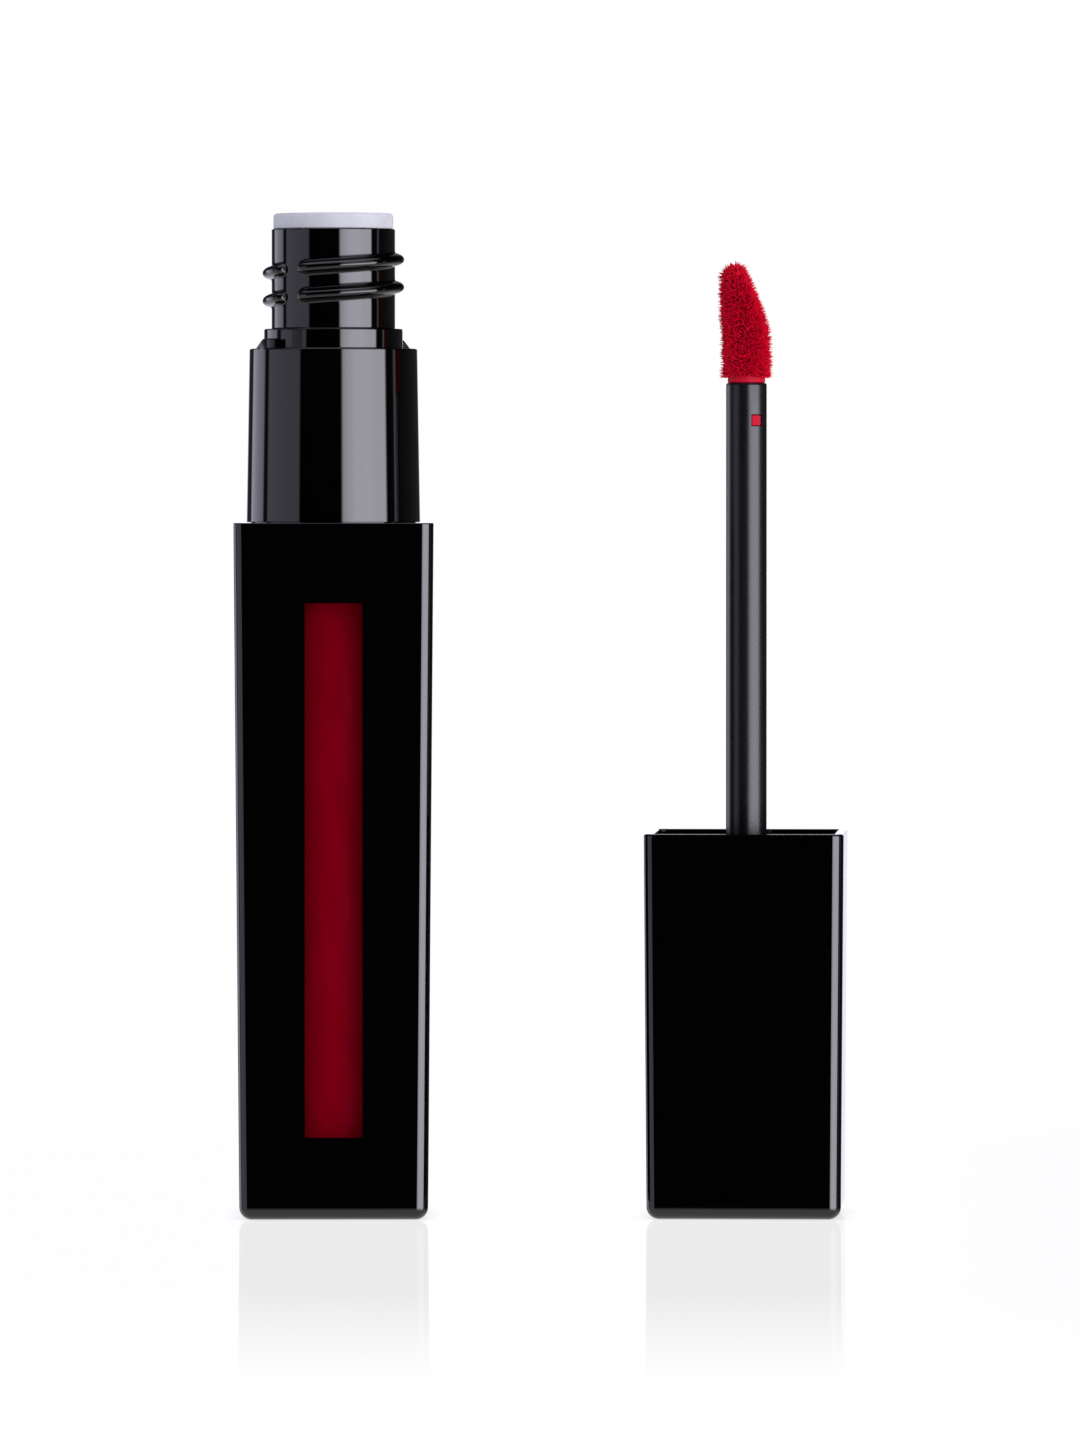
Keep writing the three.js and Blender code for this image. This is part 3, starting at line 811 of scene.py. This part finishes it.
def build_lug(half_turn):
    """A ratchet stop on the shoulder: a long ramp, a flat crest and a steep stop face."""
    rings = []
    for azimuth, height in LUG_HEIGHTS:
        a = math.radians(azimuth + 180 * half_turn)
        top = SHOULDER_TOP + height
        low = SHOULDER_TOP - LUG_SINK
        section = [(LUG_INSIDE, low), (LUG_OUTSIDE, low), (LUG_OUTSIDE, top - 0.13),
                   (8.0, top - 0.04), (7.91, top), (LUG_INSIDE, top)]
        rings.append([(r * math.sin(a), -r * math.cos(a), z) for r, z in section][::-1])
    points, faces = loft(rings)
    return new_piece("lug", points, faces)


WELD_GAP = 1e-4


def weld(piece):
    """Joins points that lie on each other, drops loose ones and points all faces outwards."""
    mesh = bmesh.new()
    mesh.from_mesh(piece.data)
    bmesh.ops.remove_doubles(mesh, verts=mesh.verts, dist=WELD_GAP * MM)
    bmesh.ops.delete(mesh, geom=[v for v in mesh.verts if not v.link_faces], context="VERTS")
    bmesh.ops.recalc_face_normals(mesh, faces=mesh.faces)
    mesh.to_mesh(piece.data)
    mesh.free()


def build_shoulder_neck():
    """Shoulder, collar and neck, with the spigot inside the case, one moulding."""
    root, crown = COLLAR_TOP + 0.15, NECK_TOP - 0.12
    outline = rounded([
        (NECK_RADIUS, crown), (NECK_RADIUS, NECK_TOP, 0.1), (NECK_BORE, NECK_TOP, 0.05),
        (NECK_BORE, SPIGOT_BORE_TOP), (SPIGOT_BORE, SPIGOT_BORE_TOP), (SPIGOT_BORE, SPIGOT_LOW),
        (SPIGOT_RADIUS, SPIGOT_LOW, 0.3), (SPIGOT_RADIUS, SHOULDER_SEAT),
        (SHOULDER_FOOT_RADIUS, SHOULDER_SEAT, 0.06), (SHOULDER_TOP_RADIUS, SHOULDER_TOP, 0.14),
        (COLLAR_RADIUS, SHOULDER_TOP, 0.1), (COLLAR_RADIUS, COLLAR_TOP, 0.13),
        (NECK_RADIUS, COLLAR_TOP, 0.12),
        (NECK_RADIUS, root),
    ], steps=5, closed=False)
    spans = bead_ends()
    azimuths = neck_azimuths(spans)
    body_points, body_faces = lathe(outline, [math.radians(a) for a in azimuths[:-1]], False)
    wall_points, wall_faces = threaded_wall(root, crown, azimuths, spans)
    shift = len(body_points)
    wall_faces = [tuple(i + shift for i in face) for face in wall_faces]
    piece = new_piece("shoulder_and_neck", body_points + wall_points, body_faces + wall_faces)
    weld(piece)
    combine(piece, [build_lug(0), build_lug(1)], "UNION")
    finish_piece(piece, gloss_black("neck gloss black", 0.035),
                 "bottle", "shoulder_neck", 38)


def build_wiper():
    low, top = wiper_low[2], wiper_high[2]
    outline = rounded([
        (2.75, low, 0.2), (4.85, low + 4.0, 0.6), (4.85, NECK_TOP + 0.03),
        (5.75, NECK_TOP + 0.03, 0.1),
        (5.73, top, 0.32), (4.75, top, 0.3), (4.1, top - 0.9, 0.5),
        (4.1, low + 4.4, 0.8), (2.15, low + 0.9, 0.3), (2.15, low, 0.1),
    ])
    piece = revolve("wiper_insert", outline)
    finish_piece(piece, milky_plastic("wiper plastic"), "bottle", "wiper", 50)


# ------------------------------------------------------------------ cap

def build_cap_shell():
    """The square cap: thin walls, an eased rim, and a round recess in its closed end."""
    ease = 0.2
    recess_radius, recess_depth = 6.2, 0.3
    rings = [
        circle_ring(recess_radius, recess_depth),
        circle_ring(recess_radius, 0.05),
        circle_ring(recess_radius + 0.05, 0),
    ]
    rings += square_end_rings(CAP_END_HALF)
    rim = CAP_HEIGHT
    end_half, ease_half, rim_half = (half_at(z, CAP_END_HALF, CAP_HEIGHT)
                                     for z in (CAP_END_WALL, rim - ease, rim))
    middle = ease * EASE_MIDDLE
    rings += [
        square_ring(ease_half, EDGE_ROUND, rim - ease),
        square_ring(rim_half - middle, EDGE_ROUND, rim - middle),
        square_ring(rim_half - ease, EDGE_ROUND - ease, rim),
    ]
    inner_corner = 0.6
    rings += [
        square_ring(rim_half - CAP_WALL + ease, inner_corner + ease, rim),
        square_ring(rim_half - CAP_WALL + middle, inner_corner + middle, rim - middle),
        square_ring(rim_half - CAP_WALL, inner_corner, rim - ease),
        square_ring(end_half - CAP_WALL, inner_corner, CAP_END_WALL),
    ]
    points, faces = loft(rings)
    piece = new_piece("cap_outer", points, faces, (CAP_X, 0), CAP_YAW)
    finish_piece(piece, gloss_black("cap gloss black", 0.03), "cap", "cap_shell")


def build_inner_cap():
    """The threaded inner cap: end wall, skirt, ridge, two stop teeth and four corner fins."""
    bore, skirt = INNER_CAP_BORE, INNER_CAP_SKIRT
    place = (CAP_X, 0)
    outline = rounded([
        (STEM_SEAT_RADIUS, INNER_CAP_LOW), (skirt, INNER_CAP_LOW, 0.3),
        (skirt, INNER_CAP_TOP, 0.15), (bore, INNER_CAP_TOP, 0.15),
        (bore, INNER_CAP_FLOOR, 0.4), (STEM_HOLE, INNER_CAP_FLOOR, 0.1),
        (STEM_HOLE, STEM_SEAT_TOP), (STEM_SEAT_RADIUS, STEM_SEAT_TOP),
    ])
    piece = revolve("cap_thread_insert", outline, 160, place=place)
    extras = [build_ridge(place)]
    for half_turn in (0, 1):
        rings = []
        for azimuth in np.linspace(*TOOTH_RUN, 9) + 180 * half_turn:
            a = math.radians(azimuth)
            section = [(bore + TOOTH_SINK, TOOTH_LOW), (skirt - TOOTH_SINK, TOOTH_LOW),
                       (skirt - TOOTH_SINK, 19.95), (skirt - 0.12, TOOTH_TOP),
                       (bore + 0.12, TOOTH_TOP), (bore + TOOTH_SINK, 19.95)]
            rings.append([(r * math.sin(a), -r * math.cos(a), z) for r, z in section][::-1])
        extras.append(new_piece("tooth", *loft(rings), place, CAP_YAW))
    for corner in range(4):
        reach, thick, ease = FIN_REACH, FIN_HALF, FIN_EASE
        fin = [[(bore + 0.3, -thick, z), (reach - ease, -thick, z), (reach, -thick + ease, z),
                (reach, thick - ease, z), (reach - ease, thick, z), (bore + 0.3, thick, z)]
               for z in (INNER_CAP_LOW + 0.1, 14.8)]
        fin.append([(x - ease * (x > bore + 1), y * 0.75, FIN_TOP) for x, y, _ in fin[-1]])
        extras.append(new_piece("fin", *loft(fin), place, CAP_YAW + math.radians(45 + 90 * corner)))
    combine(piece, extras, "UNION")
    finish_piece(piece, moulded_black("inner cap plastic"), "cap", "inner_cap")


def build_cap_insides():
    """Pieces in the cap's end: weight, label and the seal on its seat against the end wall."""
    place = (CAP_X, 0)
    radius = (weight_high[0] - weight_low[0]) / 2
    outline = rounded([
        (0, weight_low[2]), (radius, weight_low[2], 0.25), (radius, weight_high[2], 0.25),
        (0, weight_high[2]),
    ], closed=False)
    weight = revolve("weight_disc", outline, closed=False, place=place)
    finish_piece(weight, stamped_steel("weight steel"), "weight", "cap_weight")

    radius = (label_high[0] - label_low[0]) / 2
    outline = rounded([
        (0, label_low[2]), (radius, label_low[2], 0.04), (radius, label_high[2], 0.04),
        (0, label_high[2]),
    ], steps=3, closed=False)
    label = revolve("blank_end_label", outline, closed=False, place=place)
    finish_piece(label, label_film("label film"), "cap", "end_label")

    seat, hole, rim = 6.08, 2.05, 6.3
    outline = rounded([
        (hole, seat, 0.1), (rim, seat, 0.15), (rim, seat + 1.0, 0.15), (hole, seat + 1.0, 0.1),
    ])
    seal = revolve("seal_washer", outline, place=place)
    finish_piece(seal, seal_foam("seal foam"), "cap", "seal_liner")


# ------------------------------------------------------------------ wand

def snap_block(size, near, far, ease):
    """A square bar with eased edges that reaches out from the wand's axis at the snap."""
    half = size / 2
    eased = half - ease
    outline = [(-eased, -half), (eased, -half), (half, -eased), (half, eased),
               (eased, half), (-eased, half), (-half, eased), (-half, -eased)]
    rings = [[(x, -depth, SNAP_HEIGHT + z) for x, z in outline] for depth in (near, far - ease)]
    rings.append([(x * 0.88, -far, SNAP_HEIGHT + z * 0.88) for x, z in outline])
    return new_piece("snap", *loft(rings), (CAP_X, 0), SNAP_AZIMUTH + CAP_YAW)


def build_stem():
    low = stem_low[2]
    outline = rounded([
        (STEM_BORE, low), (STEM_FLANGE_RADIUS, low, 0.1),
        (STEM_FLANGE_RADIUS, low + STEM_FLANGE_HEIGHT, 0.1),
        (STEM_RADIUS, low + STEM_FLANGE_HEIGHT, 0.12), (STEM_RADIUS, STEM_TOP, 0.24),
        (STEM_BORE, STEM_TOP, 0.04),
    ], steps=8)
    piece = revolve("wand_stem", outline, place=(CAP_X, 0))
    combine(piece, [snap_block(SNAP_WINDOW, 0.3, 3.0, 0.07)], "DIFFERENCE")
    finish_piece(piece, satin_black("stem satin black"), "cap", "stem", 30)


def foot_ring(z, inset):
    """A level section of the slanted foot, drawn in by inset from its fibre-tip surface."""
    lean = -FOOT_LEAN * min(1.0, max(0.0, (z - 84.0) / 3.5))
    dome = min(1.0, max(0.0, (z - FOOT_DOME_LOW + inset) / (TIP_TOP + 0.05 - FOOT_DOME_LOW)))
    radius = (TIP_RADIUS - inset) * math.sqrt(1 - dome ** 3.8)
    cut = 2.2 - (z - TIP_SLANT_LOW) * TIP_SLANT - inset / math.cos(math.atan(TIP_SLANT))
    ring = []
    for k in range(FOOT_SIDES):
        turn = 2 * math.pi * k / FOOT_SIDES
        x = lean + radius * math.sin(turn)
        over = (x - cut) / FOOT_EDGE_EASE
        x -= FOOT_EDGE_EASE * math.log1p(math.exp(over)) if over < 30 else x - cut
        ring.append((x, -radius * math.cos(turn), z))
    return ring


def build_core():
    """The red core: a plug in the stem, the snap tab, a short bare neck and the hidden paddle."""
    outline = [(0.95, 70.0), (1.14, 70.25), (1.14, STEM_TOP + 0.01), (1.72, STEM_TOP + 0.01),
               (1.79, STEM_TOP + 0.06), (1.8, STEM_TOP + 0.3), (1.78, TIP_LOW + 0.2)]
    turns = [2 * math.pi * k / FOOT_SIDES for k in range(FOOT_SIDES)]
    rings = [[(r * math.sin(turn), -r * math.cos(turn), z) for turn in turns] for r, z in outline]
    rings += [foot_ring(z, PADDLE_INSET) for z in np.linspace(TIP_LOW + 0.8, PADDLE_TOP, 14)]
    piece = new_piece("applicator_plug_and_neck", *loft(rings), (CAP_X, 0), CAP_YAW)
    combine(piece, [snap_block(SNAP_WINDOW - 0.12, 0.3, STEM_RADIUS - 0.1, 0.1)], "UNION")
    finish_piece(piece, core_red("core red"), None, "applicator_core", 45)
    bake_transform(piece)


CLUMPS = 6400
CLUMP_SIDES = 5
CLUMP_SECTIONS = [(-0.06, 1.0), (0.45, 0.95), (0.82, 0.6)]  # (share of the length, of the width)
# Tone lifts for each clump's rings: painted shade at the root ring, painted light at the top ring
# and tip.
CLUMP_ROOT_SHADE_TIP_LIGHT = [-0.25] * CLUMP_SIDES + [0] * CLUMP_SIDES + [0.12] * (CLUMP_SIDES + 1)
FINE_SHARE = 0.35


def build_tip():
    """The flocked foot: a napped base with thousands of short wet fibre clumps standing on it."""
    inset = FIBRE_LENGTH * 0.86
    heights = np.linspace(FLOCK_LOW, TIP_TOP - inset - 0.02, 60)
    foot = loft([foot_ring(z, inset) for z in heights])
    base = new_piece("flock_base", *foot, (CAP_X, 0), CAP_YAW)
    finish_piece(base, flock_base("flock base"), "tip", "flocked_tip", 180)

    rng = random.Random(7)
    mesh = base.data
    mesh.calc_loop_triangles()
    crown = TIP_TOP * MM * 0.98
    triangles = [t for t in mesh.loop_triangles if abs(t.normal.z) < 0.995 or t.center.z > crown]
    reach = np.cumsum([t.area for t in triangles])
    points, faces, clump_tones_and_painted_shade = [], [], []
    for _ in range(CLUMPS):
        t = triangles[int(np.searchsorted(reach, rng.random() * reach[-1]))]
        a, b = rng.random(), rng.random()
        if a + b > 1:
            a, b = 1 - a, 1 - b
        corners = [mesh.vertices[i].co for i in t.vertices]
        root = (corners[0] + (corners[1] - corners[0]) * a + (corners[2] - corners[0]) * b) / MM
        sway = Vector((rng.gauss(0, 0.28), rng.gauss(0, 0.28), rng.gauss(0.2, 0.3)))
        way = (t.normal + sway).normalized()
        side = way.orthogonal().normalized()
        other = way.cross(side)
        fine = rng.random() < FINE_SHARE
        thick = rng.uniform(0.035, 0.055) if fine else rng.uniform(0.06, 0.1)
        length = FIBRE_LENGTH * (rng.uniform(1.1, 1.7) if fine else rng.uniform(0.65, 1.2))
        curl = side * rng.gauss(0, 0.05) + other * rng.gauss(0, 0.05)
        first = len(points)
        for share, size in CLUMP_SECTIONS:
            centre = root + way * length * share + curl * share ** 2
            for k in range(CLUMP_SIDES):
                turn = 2 * math.pi * k / CLUMP_SIDES
                out = side * math.cos(turn) + other * math.sin(turn)
                points.append(centre + out * thick * size)
        points.append(root + way * length + curl)
        for level in range(len(CLUMP_SECTIONS) - 1):
            for k in range(CLUMP_SIDES):
                n = (k + 1) % CLUMP_SIDES
                low = first + level * CLUMP_SIDES
                high = low + CLUMP_SIDES
                faces.append((low + k, low + n, high + n, high + k))
        last = first + (len(CLUMP_SECTIONS) - 1) * CLUMP_SIDES
        tip = last + CLUMP_SIDES
        faces += [(last + k, last + (k + 1) % CLUMP_SIDES, tip) for k in range(CLUMP_SIDES)]
        faces.append(tuple(first + CLUMP_SIDES - 1 - k for k in range(CLUMP_SIDES)))
        # Each clump has a random tone, lowered at its root as painted shade and raised at its tip
        # as painted light.
        clump_tones_and_painted_shade += [min(1, max(0, rng.gauss(0.5, 0.22) + lift)) for lift in CLUMP_ROOT_SHADE_TIP_LIGHT]
    fibres = new_piece("flock_fibres", points, faces)
    tone_and_painted_shade_of = fibres.data.attributes.new("clump_tone_and_painted_shade", "FLOAT", "POINT")
    tone_and_painted_shade_of.data.foreach_set("value", np.array(clump_tones_and_painted_shade, np.float32))
    finish_piece(fibres, flock_fibre("flock fibre"), "tip", None, 60)


# ------------------------------------------------------------------ stage

FRAME_CENTRE_X = CAP_X / 2
CAMERA_DISTANCE = 1150
CAMERA_HEIGHT = 70
AIM_HEIGHT = 47.47
CAMERA_AZIMUTH = math.radians(-1)
FRAME_HEIGHT = 138.1  # mm of the object's plane seen on the long side
SENSOR = 36


def add_camera():
    camera = bpy.data.objects.new("camera", bpy.data.cameras.new("camera"))
    bpy.context.scene.collection.objects.link(camera)
    camera.location = Vector((
        FRAME_CENTRE_X + CAMERA_DISTANCE * math.sin(CAMERA_AZIMUTH),
        -CAMERA_DISTANCE * math.cos(CAMERA_AZIMUTH),
        CAMERA_HEIGHT,
    )) * MM
    aim = Vector((FRAME_CENTRE_X, 0, AIM_HEIGHT)) * MM
    camera.rotation_euler = (aim - camera.location).to_track_quat("-Z", "Y").to_euler()
    camera.data.sensor_width = SENSOR
    camera.data.lens = SENSOR * CAMERA_DISTANCE / FRAME_HEIGHT
    camera.data.clip_start, camera.data.clip_end = 0.05, 20
    bpy.context.scene.camera = camera


# Brightness seen by reflections against the azimuth, in degrees to the right of the front.
ROOM_BANDS = [
    (-180, 1.25), (-176.5, 1.25), (-175, 0.85), (-168, 0.6), (-164, 0.05), (-144, 0.05),
    (-140, 1.7), (-111, 1.6), (-106, 0.05), (-100, 0.05), (-96, 0.95), (-48, 0.92), (-45, 0.0),
    (10.5, 0.0), (13, 5.2), (18, 6.5), (30, 7.9), (48, 8.1), (60, 7.3), (74, 6.9), (76.5, 0.0),
    (89.5, 0.03), (90.5, 0.9), (93, 0.9), (94.5, 0.03), (128, 0.05), (166, 0.05), (169, 0.85),
    (175, 0.85), (176.5, 1.25), (180, 1.25),
]
BRIGHTEST = 8.5
PANEL_TINT = (0.95, 0.945, 1.16)  # the left side of the room is the bluer
SOFTBOX_TINT = (0.975, 0.965, 1.08)
SOFT_SHARE = 0.35  # of the bands in soft light, which is mostly even fill
SOFT_FILL = 0.95
# Shares of the bands, and of light from above, against height: 0 straight down, 1 straight up.
BANDS_BY_HEIGHT = [(0.0, 0.15), (0.2, 0.7), (0.32, 1.0), (0.545, 1.0), (0.6, 0.15), (1.0, 0.08)]
OVERHEAD_BY_HEIGHT = [(0.0, 0.0), (0.88, 0.0), (0.95, 0.14), (1.0, 0.16)]


def add_room():
    """White behind for the camera. Reflections see a dark room with soft panels round it."""
    world = bpy.data.worlds.new("room")
    bpy.context.scene.world = world
    world.use_nodes = True
    tree = world.node_tree
    tree.nodes.clear()
    link = tree.links.new

    def add(kind, **settings):
        node = tree.nodes.new(kind)
        for key, value in settings.items():
            setattr(node, key, value)
        return node

    def math_node(operation, *values):
        node = add("ShaderNodeMath", operation=operation)
        for socket, value in zip(node.inputs, values):
            if isinstance(value, bpy.types.NodeSocket):
                link(value, socket)
            else:
                socket.default_value = value
        return node.outputs[0]

    def ramp(value, stops):
        node = add("ShaderNodeValToRGB")
        elements = node.color_ramp.elements
        while len(elements) < len(stops):
            elements.new(0.5)
        for element, (place, level) in zip(elements, stops):
            element.position = place
            element.color = (level, level, level, 1)
        link(value, node.inputs[0])
        return node.outputs[0]

    way = add("ShaderNodeSeparateXYZ")
    link(add("ShaderNodeTexCoord").outputs["Generated"], way.inputs[0])
    azimuth = math_node("ARCTAN2", way.outputs[0], math_node("MULTIPLY", way.outputs[1], -1.0))
    around = math_node("MULTIPLY_ADD", azimuth, 1 / (2 * math.pi), 0.5)
    bands = ramp(around, [((a + 180) / 360, level / BRIGHTEST) for a, level in ROOM_BANDS])
    height = math_node("MULTIPLY_ADD", way.outputs[2], 0.5, 0.5)
    tall = ramp(height, BANDS_BY_HEIGHT)
    overhead = ramp(height, OVERHEAD_BY_HEIGHT)
    level = math_node("ADD", math_node("MULTIPLY", bands, tall), overhead)

    seen = add("ShaderNodeBackground")
    seen.inputs["Color"].default_value = (1, 1, 1, 1)
    mirrored = add("ShaderNodeBackground")
    soft = add("ShaderNodeBackground")
    soft_level = math_node("MULTIPLY_ADD", level, SOFT_SHARE, SOFT_FILL / BRIGHTEST)
    tint = add("ShaderNodeMix", data_type="VECTOR")
    colours = [socket for socket in tint.inputs if socket.type == "VECTOR"]
    for socket, colour in zip(colours[-2:], (PANEL_TINT, SOFTBOX_TINT)):
        socket.default_value = colour
    link(math_node("GREATER_THAN", azimuth, 0.0), tint.inputs["Factor"])
    tint_out = next(socket for socket in tint.outputs if socket.type == "VECTOR")
    for background, brightness in ((mirrored, level), (soft, soft_level)):
        scale = add("ShaderNodeVectorMath", operation="SCALE")
        link(tint_out, scale.inputs[0])
        link(brightness, scale.inputs["Scale"])
        link(scale.outputs[0], background.inputs["Color"])
        background.inputs["Strength"].default_value = BRIGHTEST
    path = add("ShaderNodeLightPath")
    lit = add("ShaderNodeMixShader")
    link(path.outputs["Is Diffuse Ray"], lit.inputs[0])
    link(mirrored.outputs[0], lit.inputs[1])
    link(soft.outputs[0], lit.inputs[2])
    mix = add("ShaderNodeMixShader")
    link(path.outputs["Is Camera Ray"], mix.inputs[0])
    link(lit.outputs[0], mix.inputs[1])
    link(seen.outputs[0], mix.inputs[2])
    link(mix.outputs[0], add("ShaderNodeOutputWorld").inputs["Surface"])


FLOOR_HALF = 4000
CONTACT_REACH = 2.5
FLOOR_MIRROR = 0.17
MIRROR_FADE = (112, 214)


def add_floor():
    """A white floor with a faint fading reflection, and soft shade where the pieces stand."""
    half = FLOOR_HALF
    mesh = bpy.data.meshes.new("floor")
    corners = [(-half, -half), (half, -half), (half, half), (-half, half)]
    mesh.from_pydata([(x * MM, y * MM, 0) for x, y in corners], [], [(0, 1, 2, 3)])
    floor = bpy.data.objects.new("floor", mesh)
    bpy.context.scene.collection.objects.link(floor)
    s = Surface("white floor")
    s.tree.nodes.remove(s.shader)
    occlusion = s.feed(s.add("ShaderNodeAmbientOcclusion"), Distance=CONTACT_REACH * MM)
    contact = s.spread(occlusion.outputs["AO"], 0.7, 1.0, start=0.0, end=0.8)
    near = s.add("ShaderNodeVectorMath", operation="DISTANCE")
    s.tree.links.new(s.place, near.inputs[0])
    near.inputs[1].default_value = (FRAME_CENTRE_X * MM, 0, 0)
    fade = s.spread(near.outputs["Value"], FLOOR_MIRROR, 0.0,
                    start=MIRROR_FADE[0] * MM, end=MIRROR_FADE[1] * MM)
    facing = s.add("ShaderNodeSeparateXYZ")
    s.tree.links.new(s.add("ShaderNodeNewGeometry").outputs["Incoming"], facing.inputs[0])
    grazing = s.spread(facing.outputs["Z"], 1.0, 0.2, start=0.1, end=0.35)
    share = s.add("ShaderNodeMath", operation="MULTIPLY")
    s.tree.links.new(fade, share.inputs[0])
    s.tree.links.new(grazing, share.inputs[1])

    white = s.feed(s.add("ShaderNodeEmission"), Strength=contact)
    mirror = s.feed(s.add("ShaderNodeBsdfGlossy"), Roughness=0.0)
    seen = s.mix_shaders(share.outputs[0], white, mirror)
    steep = s.spread(facing.outputs["Z"], 0.0, 1.0, start=0.12, end=0.5)
    lit = s.mix_shaders(steep, s.add("ShaderNodeBsdfTransparent"), s.add("ShaderNodeEmission"))
    is_camera = s.add("ShaderNodeLightPath").outputs["Is Camera Ray"]
    both = s.mix_shaders(is_camera, lit, seen)
    s.tree.links.new(both.outputs[0], s.output.inputs["Surface"])
    floor.data.materials.append(s.material)


# ------------------------------------------------------------------ build

build_case()
build_window()
build_vial()
build_fill()
build_shoulder_neck()
build_wiper()
build_cap_shell()
build_inner_cap()
build_cap_insides()
build_stem()
build_core()
build_tip()
add_room()
add_floor()
add_camera()
bpy.context.scene.view_settings.view_transform = "Standard"
